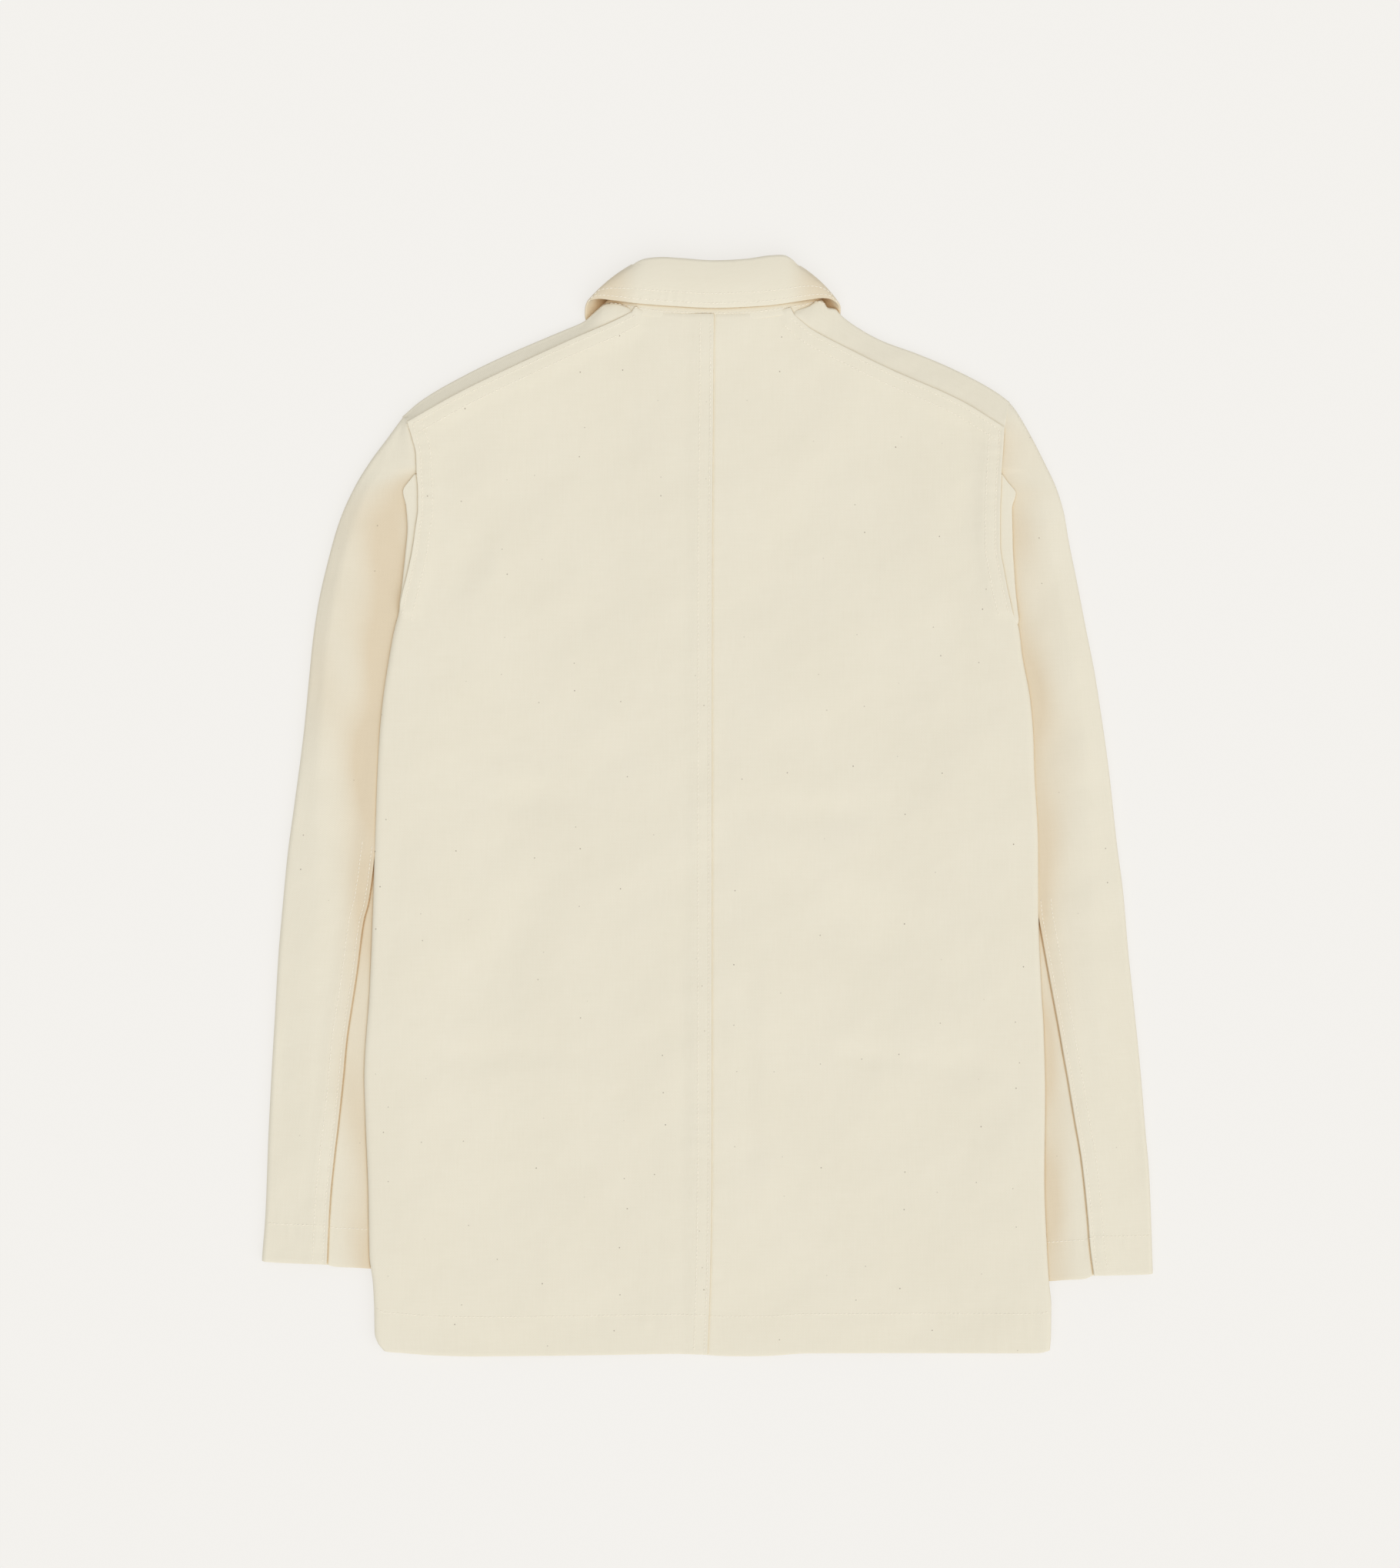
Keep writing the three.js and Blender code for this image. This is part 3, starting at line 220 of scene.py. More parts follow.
# soft folds of the back: from, to, half width, height (below 0 for a trough)
BACK_FOLDS = [
    ((-80, 288), (-165, 197), 30, -1.3), ((-165, 197), (-190, 146), 15, -1.5),
    ((-152, 190), (-178, 140), 13, 0.9), ((193, 276), (191, 162), 17, -1.2),
    ((176, 128), (222, 60), 15, -1.2), ((150, 118), (196, 44), 18, 0.8),
    ((-152, 3), (-104, 3), 12, -0.9), ((-160, 22), (-100, 20), 12, 0.5),
    ((34, -7), (128, -8), 12, -0.9), ((50, 14), (120, 12), 13, 0.5),
    ((63, -60), (177, -128), 24, -1.4), ((90, -40), (190, -100), 20, 0.8),
    ((-131, -77), (-165, -145), 22, -1.3), ((-108, -80), (-140, -150), 18, 0.7),
    ((-200, -186), (-84, -184), 9, -0.6), ((66, -180), (236, -201), 9, -0.6),
    ((30, -122), (30, -290), 9, -0.7), ((42, -120), (44, -280), 10, 0.5),
    ((-19, -88), (-20, -372), 5, -0.35), ((-120, -250), (-150, -340), 24, -0.7),
    ((110, -290), (160, -360), 26, -0.7), ((90, 250), (60, 170), 34, -0.8),
    ((-40, 200), (-70, 90), 40, 0.6), ((60, 120), (90, 60), 36, 0.6),
    ((-190, 40), (-150, -40), 26, -0.8),
]
# and of the sleeves: distance from the centre, y
SLEEVE_FOLDS = {
    -1: [((262, 262), (240, 236), 9, -0.8), ((285, 190), (246, 150), 13, -1.1),
         ((300, 96), (262, 60), 14, -1.0), ((262, 120), (288, 40), 15, 0.8),
         ((306, -10), (262, -36), 12, -0.9), ((318, -120), (284, -150), 13, -0.7),
         ((300, -190), (322, -262), 14, -0.6), ((270, -60), (300, -110), 14, 0.6)],
    1: [((250, 262), (232, 232), 9, -0.8), ((268, 180), (240, 142), 12, -1.0),
        ((292, 70), (256, 44), 13, -0.9), ((256, 116), (280, 30), 15, 0.7),
        ((303, -40), (262, -60), 12, -0.9), ((318, -170), (282, -190), 13, -0.7),
        ((300, -230), (324, -300), 14, -0.6), ((272, -90), (298, -140), 14, 0.6)],
}
rng = np.random.default_rng(2995)


def make_waves(count, length, height):
    """Low waves of about this length in all directions, which add up to about this height."""
    turn = rng.uniform(0, 2 * math.pi, count)
    k = 2 * math.pi / (length * rng.uniform(0.7, 1.5, count))
    each = height / math.sqrt(count / 2)
    return [(k[i] * math.cos(turn[i]), k[i] * math.sin(turn[i]), rng.uniform(0, 2 * math.pi), each)
            for i in range(count)]


WAVES = make_waves(9, 120, 0.34) + make_waves(12, 46, 0.13) + make_waves(14, 17, 0.045)
PUCKERS = make_waves(6, 9, 0.5) + make_waves(5, 15, 0.4)


def add_waves(table, x, y):
    z = np.zeros(np.broadcast(x, y).shape)
    for kx, ky, phase, height in table:
        z = z + height * np.sin(kx * x + ky * y + phase)
    return z


def pucker(s):
    """Uneven ripples along a seam, from -1 to 1 or so."""
    z = np.zeros(np.shape(s))
    for kx, ky, phase, height in PUCKERS:
        z = z + height * np.sin(math.hypot(kx, ky) * s + phase)
    return z * (0.6 + 0.4 * np.sin(s / 41.0 + 1.3))


def add_folds(table, x, y):
    z = np.zeros(np.broadcast(x, y).shape)
    for (ax, ay), (bx, by), wide, high in table:
        dx, dy = bx - ax, by - ay
        t = np.clip(((x - ax) * dx + (y - ay) * dy) / (dx * dx + dy * dy), 0, 1)
        away = np.hypot(x - ax - dx * t, y - ay - dy * t)
        fade = 0.35 + 0.65 * np.sin(math.pi * np.clip(t, 0.02, 0.98)) ** 0.5
        z = z + high * fade * bell(away / wide)
    return z


def band(d):
    """1 on a felled seam, 0 past it, with the edge a little raised; d is the distance from it."""
    return smooth((BAND + 9 - d) / 12) + 0.45 * bell(np.maximum(d, 0) / 1.3)


def rows_dent(d, s, first=3.0, second=10.3):
    """Dents of two rows of stitches and the ripples that they draw up."""
    dent = -0.1 * (bell((d - first) / 0.9) + bell((d - second) / 0.9))
    return dent + 0.13 * pucker(s) * bell((d - 6) / 9.0)


# heights of the back
def back_plain(side, out, y):
    edge = side.edge(y)
    ramp = smooth((out - (edge - 112)) / 100)
    z = BACK_MID + (side.height(y) - BACK_MID) * ramp
    z = z + CENTRE_RISE * (1 - smooth((out - 20) / 46))
    below = np.maximum((side.shoulder(out) - y) * SLANT, 0)
    return z + SHOULDER_RISE * bell(below / 38) * smooth((y - 150) / 90)


def back_z(side, out, y):
    x = side.sign * out
    edge = side.edge(y)
    to_edge = edge - out
    keep = smooth(to_edge / 26) * smooth((side.shoulder(out) - y) / 22 + 0.15) * smooth((y + 412) / 30)
    z = back_plain(side, out, y) + (add_folds(BACK_FOLDS, x, y) + add_waves(WAVES, x, y)) * keep
    # felled seams at the shoulder and the armhole
    arm = smooth((y - ARM_Y + 5) / 8)
    to_shoulder = (side.shoulder(np.maximum(out, side.neck_out)) - y) * SLANT
    to_shoulder = to_shoulder + 60 * smooth((side.neck_out - out) / 20)
    z = z + LAP * np.maximum(band(to_shoulder), band(to_edge) * arm)
    z = z + rows_dent(to_shoulder, out) * smooth((out - side.neck_out + 4) / 6)
    z = z + rows_dent(to_edge, y) * arm
    # the turned-up hem
    up = y - side.hem(out)
    z = z + 0.16 * smooth((TURN + 9 - up) / 18)
    z = z + 0.16 * pucker(x * 0.9 + 40) * bell((up - 22) / 13)
    z = z + 0.12 * pucker(x * 0.8 + 90) * bell(up / 7)
    return z


def add_object(name, data):
    obj = bpy.data.objects.new(name, data)
    bpy.context.scene.collection.objects.link(obj)
    return obj


# meshes
def normals(grid):
    du = np.gradient(grid, axis=0)
    dv = np.gradient(grid, axis=1)
    n = np.cross(du, dv)
    return n / np.maximum(np.linalg.norm(n, axis=2, keepdims=True), 1e-9)


def distances(grid, axis):
    step = np.linalg.norm(np.diff(grid, axis=axis), axis=2)
    pad = [(0, 0), (0, 0)]
    pad[axis] = (1, 0)
    return np.cumsum(np.pad(step, pad), axis=axis)


def shell(grid, up, thick=CLOTH, uv=None, rim=3):
    """Points, quads and cloth coordinates of a closed thin shell round a grid of middle points."""
    n, m = grid.shape[:2]
    normal = normals(grid) * up
    half = thick / 2
    if uv is None:
        uv = np.dstack([distances(grid, 1), distances(grid, 0)])
    idx = np.arange(n * m).reshape(n, m)
    quads = np.stack([idx[:-1, :-1], idx[:-1, 1:], idx[1:, 1:], idx[1:, :-1]], -1).reshape(-1, 4)
    loop = np.concatenate([idx[0, :], idx[1:, -1], idx[-1, -2::-1], idx[-2:0:-1, 0]])
    edge = grid.reshape(-1, 3)[loop]
    along = np.roll(edge, -1, 0) - np.roll(edge, 1, 0)
    nrm = normal.reshape(-1, 3)[loop]
    away = np.cross(along, nrm)
    away /= np.maximum(np.linalg.norm(away, axis=1, keepdims=True), 1e-9)
    inward = (grid[n // 2, 0] - grid[n // 2, 1]) @ away[-(n // 2) % len(loop)]
    if inward < 0:
        away = -away
    points = [(grid + normal * half).reshape(-1, 3), (grid - normal * half).reshape(-1, 3)]
    rings = [loop]
    for k in range(1, rim):
        a = math.pi * k / rim
        points.append(edge + nrm * half * math.cos(a) + away * half * math.sin(a))
        rings.append(2 * n * m + (k - 1) * len(loop) + np.arange(len(loop)))
    rings.append(loop + n * m)
    faces = [quads, quads[:, ::-1] + n * m]
    for a, b in zip(rings, rings[1:]):
        faces.append(np.stack([a, b, np.roll(b, -1), np.roll(a, -1)], -1))
    flat = uv.reshape(-1, 2)
    uvs = [flat, flat] + [flat[loop]] * (rim - 1)
    return np.concatenate(points), np.concatenate(faces), np.concatenate(uvs)


def volume(points, faces):
    a, b, c, d = (points[faces[:, k]] for k in range(4))
    return np.einsum("ij,ij->i", a, np.cross(b, c) + np.cross(c, d)).sum() / 6


cloth = {}  # the visual piece of each cloth node


def make_cloth(node, parts, tone=None):
    """The visual piece of a node, from closed shells, each turned to face out."""
    points, faces, uvs, start = [], [], [], 0
    for p, f, uv in parts:
        if volume(p, f) < 0:
            f = f[:, ::-1]
        points.append(p)
        faces.append(f + start)
        uvs.append(uv)
        start += len(p)
    points, faces, uvs = np.concatenate(points), np.concatenate(faces), np.concatenate(uvs)
    mesh = bpy.data.meshes.new(node + "_cloth")
    mesh.vertices.add(len(points))
    mesh.vertices.foreach_set("co", (points * 0.001).astype(np.float32).ravel())
    mesh.loops.add(faces.size)
    mesh.loops.foreach_set("vertex_index", faces.astype(np.int32).ravel())
    mesh.polygons.add(len(faces))
    mesh.polygons.foreach_set("loop_start", np.arange(0, faces.size, 4, dtype=np.int32))
    mesh.polygons.foreach_set("use_smooth", np.ones(len(faces), dtype=bool))
    layer = mesh.uv_layers.new(name="cloth")
    layer.data.foreach_set("uv", (uvs[faces.ravel()] * 0.001).astype(np.float32).ravel())
    # painted warm shade, kept as a value on each point so the material can darken and warm the colour there
    if tone is not None:
        made = mesh.attributes.new("tone", "FLOAT", "POINT")
        made.data.foreach_set("value", tone(points).astype(np.float32))
    mesh.update(calc_edges=True)
    mesh.validate()
    mesh.materials.append(canvas)
    cloth[node] = add_object(node + "_cloth", mesh)


def turn_in(grid, up, rows, gap=1.0):
    """Rows for the cloth turned to the inside at the grid's first row."""
    normal = normals(grid) * up
    off = grid[0] - grid[1]
    off /= np.linalg.norm(off, axis=1, keepdims=True)
    inside = (grid - normal * gap)[1:rows][::-1]
    fold = []
    for k in range(FOLD_STEPS):
        a = math.pi * k / FOLD_STEPS
        fold.append(grid[0] - normal[0] * gap * (1 + math.cos(a)) / 2 + off * gap / 2 * math.sin(a))
    return np.concatenate([inside, np.array(fold), grid])


def spread(stops, steps):
    """Places from stop to stop, with so many steps in each stretch."""
    out = [np.array([stops[0]])]
    for a, b, n in zip(stops, stops[1:], steps):
        out.append(np.linspace(a, b, n + 1)[1:])
    return np.concatenate(out)


# materials
WEAVE = 0.0012  # two threads of the canvas, in metres
TWIST = 0.0008  # one turn of the sewing thread, in metres


class Nodes:
    """A material, with short ways to make what its colour, roughness and bump come from."""
    def __init__(self, name, **values):
        self.material = bpy.data.materials.new(name)
        self.material.use_nodes = True
        tree = self.material.node_tree
        self.inputs = tree.nodes["Principled BSDF"].inputs
        self.new, self.link = tree.nodes.new, tree.links.new
        for key, value in values.items():
            self.put(self.inputs[key.replace("_", " ")], value)

    def put(self, socket, value):
        if isinstance(value, bpy.types.NodeSocket):
            self.link(value, socket)
        else:
            socket.default_value = (*value, 1) if socket.type == "RGBA" else value

    def add(self, kind, *values, **named):
        """A new node, with values or links for its first inputs and its named ones."""
        made = self.new("ShaderNode" + kind)
        for key, value in [*enumerate(values), *named.items()]:
            self.put(made.inputs[key], value)
        return made

    def math(self, operation, *values):
        made = self.add("Math", *values)
        made.operation = operation
        return made.outputs[0]

    def split(self, vector):
        return self.add("SeparateXYZ", vector).outputs

    def noise(self, place, scale, detail, stretch=(1, 1, 1)):
        place = self.add("Mapping", Vector=place, Scale=stretch).outputs["Vector"]
        return self.add("TexNoise", Vector=place, Scale=scale, Detail=detail).outputs["Fac"]

    def mix(self, share, a, b, blend="MIX"):
        made = self.new("ShaderNodeMix")
        made.data_type = "RGBA"
        made.blend_type = blend
        for k, value in ((0, share), (6, a), (7, b)):
            self.put(made.inputs[k], value)
        return made.outputs[2]

    def finish(self, colour, rough, height, strength, depth):
        bump = self.add("Bump", Strength=strength, Distance=depth, Height=height)
        for key, value in (("Normal", bump.outputs["Normal"]), ("Roughness", rough), ("Base Color", colour)):
            self.link(value, self.inputs[key])
        return self.material


def canvas_material():
    m = Nodes("canvas", IOR=1.4, Specular_IOR_Level=0.25, Sheen_Weight=0.12, Sheen_Roughness=0.5)
    uv = m.add("UVMap")
    uv.uv_map = "cloth"
    place = uv.outputs["UV"]

    # colour: soft mottling, threads that differ a little, and dark flecks of seed
    shade = m.math("MULTIPLY", m.noise(place, 14, 3), 0.5)
    for stretch in ((1, 0.06, 1), (0.06, 1, 1)):
        shade = m.math("MULTIPLY_ADD", m.noise(place, 900, 1, stretch), 0.3, shade)
    colour = m.mix(shade, (0.765, 0.715, 0.575), (0.83, 0.785, 0.66))
    fleck = m.add("TexVoronoi", Vector=place, Scale=34)
    fleck.voronoi_dimensions = "2D"
    pick = m.split(fleck.outputs["Color"])
    near = m.math("LESS_THAN", fleck.outputs["Distance"], 0.017)
    seen = m.math("MULTIPLY", near, m.math("GREATER_THAN", pick[0], 0.64))
    dark = m.math("MULTIPLY_ADD", pick[1], 0.55, 0.1)
    colour = m.mix(m.math("MULTIPLY", seen, dark), colour, (0.16, 0.11, 0.07))
    # painted warm shade: the colour of the sleeves is darkened and warmed beside the body, and that of the
    # collar at its ends
    tone = m.add("Attribute")
    tone.attribute_name = "tone"
    colour = m.mix(tone.outputs["Fac"], colour, (0.91, 0.83, 0.74), "MULTIPLY")

    # painted warm shade in folds: light that comes out of a fold has met the cloth more than once, so it is
    # warmer; here the colour is darkened and warmed where the cloth is closed in
    deep = m.add("AmbientOcclusion", Distance=0.024)
    deep.samples = 10
    painted_fold_shade = m.add("ValToRGB", deep.outputs["AO"])
    stops = [(0.08, (0.68, 0.43, 0.25)), (0.3, (0.87, 0.66, 0.45)), (0.5, (0.97, 0.87, 0.74)),
             (0.7, (1.0, 0.965, 0.91)), (0.9, (1, 1, 1))]
    table = painted_fold_shade.color_ramp.elements
    while len(table) < len(stops):
        table.new(0.5)
    for made, (at, value) in zip(table, stops):
        made.position = at
        made.color = (*value, 1)
    facing = m.split(m.add("TexCoord").outputs["Normal"])
    level = m.add("MapRange", facing[2], 0.25, 0.75)  # walls at the outline stay plain
    colour = m.mix(level.outputs["Result"], colour, painted_fold_shade.outputs[0], "MULTIPLY")

    # plain weave with thick and thin threads
    turn = 2 * math.pi / WEAVE
    across, along = (m.math("SINE", m.math("MULTIPLY", v, turn)) for v in m.split(place)[:2])
    weave = m.math("MULTIPLY", m.math("MULTIPLY", across, along), 0.35)
    slub = m.noise(place, 420, 2, (1, 0.12, 1))
    rough = m.math("MULTIPLY_ADD", slub, 0.1, 0.87)
    return m.finish(colour, rough, m.math("MULTIPLY_ADD", slub, 1.2, weave), 0.35, 0.00018)


def thread_material():
    m = Nodes("thread")
    place = m.add("TexCoord").outputs["Object"]
    x, y = m.split(place)[:2]
    twist = m.math("SINE", m.math("MULTIPLY", m.math("ADD", x, y), 2 * math.pi / TWIST))
    fuzz = m.noise(place, 1500, 2)
    shade = m.math("MULTIPLY_ADD", twist, 0.12, m.noise(place, 240, 2))
    colour = m.mix(shade, (0.88, 0.83, 0.71), (0.97, 0.94, 0.84))
    rough = m.math("MULTIPLY_ADD", fuzz, 0.16, 0.72)
    return m.finish(colour, rough, m.math("MULTIPLY_ADD", twist, 0.6, fuzz), 0.4, 0.0001)


def button_material():
    m = Nodes("button_shell")
    place = m.add("TexCoord").outputs["Object"]
    cloud = m.noise(place, 130, 4, (1, 0.4, 1))
    fine = m.noise(place, 900, 2)
    colour = m.mix(m.math("MULTIPLY_ADD", cloud, 1.6, -0.3), (0.50, 0.38, 0.23), (0.80, 0.72, 0.56))
    rough = m.math("MULTIPLY_ADD", fine, 0.2, 0.32)
    return m.finish(colour, rough, m.math("MULTIPLY_ADD", cloud, 0.5, fine), 0.15, 0.0001)


canvas, thread, horn = canvas_material(), thread_material(), button_material()


# back panels
def back_panel(side):
    s = side.sign
    wide = 221  # a row's places are shares of about this width
    near = [0, 3 / wide, 22 / wide] if s < 0 else [0, 7.5 / wide, 13 / wide, 22 / wide]
    near_steps = [5, 11] if s < 0 else [3, 11, 5]
    flat_part = [side.neck_out / side.shoulder_out, 1 - 22 / wide, 1 - EDGE_ROUND / wide]
    shares = spread(near + flat_part, near_steps + [12, 54, 14])
    roll = np.linspace(0, math.pi / 2, 9)[1:]
    turn = np.concatenate([np.zeros(len(shares)), 1 - np.cos(roll)])
    reach = -0.6 if s < 0 else 9.0  # past the seam line; the right panel goes under the left one

    def centre(y):
        return s * back_seam_x(y) - reach

    def line(centre_out, edge_out, y_of, bend):
        """One row, from the centre to the edge, which is rolled down where bend is 1."""
        rolled = edge_out - EDGE_ROUND + EDGE_ROUND * np.sin(roll)
        outs = np.concatenate([lerp(centre_out, edge_out, shares), rolled])
        y = y_of(outs, (outs - centre_out) / (edge_out - centre_out))
        z = back_z(side, np.minimum(outs, edge_out), y)
        flat = back_z(side, edge_out - EDGE_ROUND, y)
        drop = np.maximum(flat - SIDE_FLOOR, 0) * bend
        z = lerp(z, flat - drop * turn, (turn > 0) * bend)
        if s < 0:
            d = outs - centre_out
            lift = 0.78 * LAP * band(d) + rows_dent(d, y, 3.2, 11)
        else:
            d = outs - centre_out - reach
            lift = 0.1 * pucker(y + 300) * bell(np.maximum(d, 0) / 7)
            lift = lift - 0.2 * bell((d - 0.6) / 0.6)
        return np.stack([s * outs, y, z + lift], -1)

    rows = []
    for y0 in spread([HEM_Y, HEM_Y + TURN, BEND_Y], [14, 236]):
        up = (y0 - HEM_Y) / TURN

        def along_hem(out, share):
            return lerp(side.hem(out), HEM_Y + TURN, up) if up < 1 else np.full(out.shape, y0)
        edge_out = side.edge(y0) + (0.5 if y0 > ARM_Y else 0) * smooth((y0 - ARM_Y) / 10)
        bend = float(1 - smooth((y0 - side.tuck_low + 7) / 14))
        rows.append(line(centre(y0), edge_out, along_hem, bend))
    for up in np.linspace(0, 1, 48)[1:]:
        def to_shoulder(out, share):
            top_out = lerp(centre(NECK_Y), side.shoulder_out, share)
            neck = side.neck(np.maximum(top_out, 0.4)) + 4.0
            top = np.where(top_out < side.neck_out, neck, side.shoulder(top_out) + 0.5)
            return lerp(BEND_Y, top, up)
        edge_out = side.edge(lerp(BEND_Y, side.shoulder_y, up)) + 0.5
        rows.append(line(lerp(centre(BEND_Y), centre(NECK_Y), up), edge_out, to_shoulder, 0.0))
    grid = np.array(rows)
    turned = 14  # rows of the hem that are doubled inside
    uv = grid[..., :2]
    mirrored = uv[1:turned][::-1] * (1, -1) + (0, 2 * (HEM_Y - 1))
    uv = np.concatenate([mirrored, np.repeat(uv[:1], FOLD_STEPS, 0), uv])
    return shell(turn_in(grid, -s, turned), -s, uv=uv)


for side, word in SIDES:
    make_cloth("back_" + word, [back_panel(side)])


# collar
def spline(rows, count):
    """Rows in between, on a smooth curve through the given ones."""
    rows = np.array(rows, float)
    gaps = sum(np.linalg.norm(np.diff(rows[:, k:k + 3], axis=0), axis=1) for k in (0, 6))
    at = np.concatenate([[0], np.cumsum(np.maximum(gaps, 3))])
    slope = np.gradient(rows, at, axis=0)
    want = np.linspace(0, at[-1], count)
    k = np.clip(np.searchsorted(at, want, side="right") - 1, 0, len(at) - 2)
    h = (at[k + 1] - at[k])[:, None]
    return between((want - at[k])[:, None] / h, h, rows[k], slope[k], rows[k + 1], slope[k + 1])


UP, DOWN = (0, 0, 1), (0, 0, -1)
# rows of neck, roll and edge points, the side that the fall lies on, the roll's radius, and how full it is
collar_back = [
    ((-61.5, 364.6, 8), (-51.6, 398, 10.8), (-69, 372.4, 12), (-0.12, 0.1, 1), 1.9, 1.5),
    ((-53.2, 362.6, 9.9), (-46, 399.8, 11.8), (-54, 370.4, 12.6), (-0.04, 0.04, 1), 2.0, 1.5),
    ((-42, 360.3, 9.9), (-36, 400.8, 12.2), (-41, 369.2, 12.8), UP, 2.0, 1.4),
    ((-22, 358.6, 9.9), (-21, 400.1, 12.4), (-23, 368, 12.9), UP, 2.0, 1.4),
    ((4, 358, 10), (4, 398.4, 12.5), (4, 366.7, 13), UP, 2.0, 1.4),
    ((28, 358.3, 9.9), (29, 399.6, 12.4), (29, 367.6, 12.9), UP, 2.0, 1.4),
    ((47, 360.4, 9.9), (46, 402, 12.2), (48, 369, 12.7), UP, 2.0, 1.4),
    ((60, 362.4, 9.6), (56.5, 402.2, 11.8), (61, 370.8, 12.5), (0.04, 0.04, 1), 2.0, 1.5),
    ((69, 364.4, 8), (62.2, 399.4, 10.8), (75, 373, 12), (0.12, 0.1, 1), 1.9, 1.5),
]
left_fold = [
    ((-68.6, 366.4, 7.2), (-54.8, 396.2, 9.8), (-82, 373.6, 11.2), (-0.26, 0.22, 0.94), 1.8, 1.6),
    ((-75, 367, 6.4), (-55.8, 395.8, 8.4), (-87.6, 372, 9.6), (-0.56, 0.48, 0.68), 1.6, 2.1),
    ((-78.4, 366.4, 5.6), (-56, 396.6, 6.2), (-89.8, 367.5, 6.4), (-0.76, 0.65, 0), 1.4, 2.2),
    ((-78.4, 365, 4.8), (-56, 394.6, 3.6), (-90.2, 361.5, 3), (-0.5, 0.43, -0.75), 1.3, 1.6),
    ((-75, 362, 4.2), (-55, 391, 2.7), (-88.6, 355.5, 1.6), (-0.1, 0.1, -1), 1.2, 0.6),
]
right_fold = [
    ((77.5, 367, 7.4), (65.6, 396.4, 9.8), (86, 374.2, 11.2), (0.26, 0.22, 0.94), 1.8, 1.6),
    ((84.5, 368.4, 6.6), (67.4, 395.2, 8.4), (93, 372.6, 9.4), (0.56, 0.48, 0.68), 1.6, 1.9),
    ((88, 366.6, 5.8), (68.2, 395.4, 6.2), (97.4, 368, 6.2), (0.78, 0.62, 0), 1.4, 1.9),
    ((87.6, 365, 4.9), (68, 394, 3.6), (97.4, 362.5, 3), (0.5, 0.42, -0.76), 1.3, 1.4),
    ((83, 361.5, 4.2), (66, 391, 2.7), (95, 357, 1.6), (0.1, 0.1, -1), 1.2, 0.6),
]


def collar_front(s):
    """The part that runs under the jacket, on side s."""
    rows = [
        ((65, 352, 3.9), (50, 378, 2.6), (83, 340, 1.5)), ((50, 329, 3.8), (38, 354, 2.6), (80, 312, 1.5)),
        ((28, 302, 3.8), (20, 332, 2.6), (60, 274, 1.5)), ((1.6, 289, 3.8), (2, 320, 2.6), (25, 256, 1.5)),
    ]
    return [(*[(s * x, y, z) for x, y, z in row], DOWN, 1.2, 0.2) for row in rows]


STAND_STEPS, ROLL_STEPS, FALL_STEPS = 14, 12, 18


def collar_grid():
    rows = collar_front(-1)[::-1] + left_fold[::-1] + collar_back + right_fold + collar_front(1)
    rows = [[*neck, *roll, *edge, *side, *rest] for neck, roll, edge, side, *rest in rows]
    grid = []
    for k, row in enumerate(spline(rows, 300)):
        neck, roll, edge, side, radius, full = row[0:3], row[3:6], row[6:9], row[9:12], row[12], row[13]
        side = side / np.linalg.norm(side)
        along = (roll - neck) / np.linalg.norm(roll - neck)
        low, high = roll - side * radius, roll + side * radius
        length = np.linalg.norm(edge - high)
        path = [lerp(neck, low, f) for f in np.linspace(0, 1, STAND_STEPS + 1)[:-1]]
        for a in np.linspace(0, math.pi, ROLL_STEPS + 1):
            path.append(roll - side * radius * math.cos(a) + along * radius * math.sin(a))
        for f in np.linspace(0, 1, FALL_STEPS + 1)[1:]:
            d = (1 - f) * length
            dents = bell((d - 2.8) / 1.1) + bell((d - 9.8) / 1.1)
            lift = full * math.sin(math.pi * f) ** 0.8 - 0.12 * dents
            lift += 0.14 * float(pucker(np.array(k * 2.1))) * bell((d - 5) / 7)
            path.append(lerp(high, edge, f) + side * lift)
        grid.append(path)
    grid = np.array(grid)
    grid[..., 2] = np.maximum(grid[..., 2], 0.9)  # the lowest layers lie on the floor
    return grid


collar_points = collar_grid()
# painted warm shade on the collar's ends, for the shade inside its folds there
make_cloth("collar", [shell(collar_points, 1, thick=COLLAR_CLOTH, rim=5)],
           lambda points: 0.8 * smooth((np.abs(points[:, 0] - 4) - 52) / 26))


# sleeves
def joined(y):
    return smooth((y - 212) / 24)


def strip_z(side, out, y):
    """Height of the strip over the shoulder, and of the sleeve beside it."""
    at = np.clip(out, side.neck_out, side.shoulder_out)
    seam_y, turn_y = side.shoulder(at), side.turn(np.maximum(at, 83)) + 1.0
    q = np.clip((y - seam_y) / np.maximum(turn_y - seam_y, 6), 0, 1)
    return lerp(back_plain(side, at, seam_y), FRONT_TOP - 1.6, q)


def sleeve_z(side, out, y):
    inner = np.maximum(side.edge(y), side.tuck(y)) + 1
    outer = side.sleeve(y)
    v = np.clip((out - inner) / np.maximum(8, outer - inner), 0, 1)
    start = sleeve_start(side, y)
    crown, peak = side.crown(y), side.peak(y)
    crown = lerp(crown, np.minimum(crown, start - 0.4), smooth((y - 262) / 18))
    start = start + SLEEVE_RISE * smooth((out - inner + 5.5) / 4) * (1 - joined(y))
    z = start + (crown - start) * smooth(v / peak)
    z = z - (crown - SLEEVE_FOLD) * smooth((v - peak + 0.07) / (1.07 - peak))
    keep = smooth((out - inner) / 14) * smooth((outer - out) / 9)
    relief = 0.8 * add_waves(WAVES, side.sign * out, y + 900)
    return z + (relief + 0.6 * add_folds(SLEEVE_FOLDS[side.sign], out, y)) * keep


def sleeve_start(side, y):
    """Height of a sleeve's upper layer at its inner end."""
    back = back_plain(side, side.edge(y), y)
    arm = np.where(y > side.shoulder_y, strip_z(side, side.shoulder_out, y), back)
    return lerp(SLEEVE_LOW, arm - 1.1 * (1 - smooth((y - 243) / 6)), joined(y))


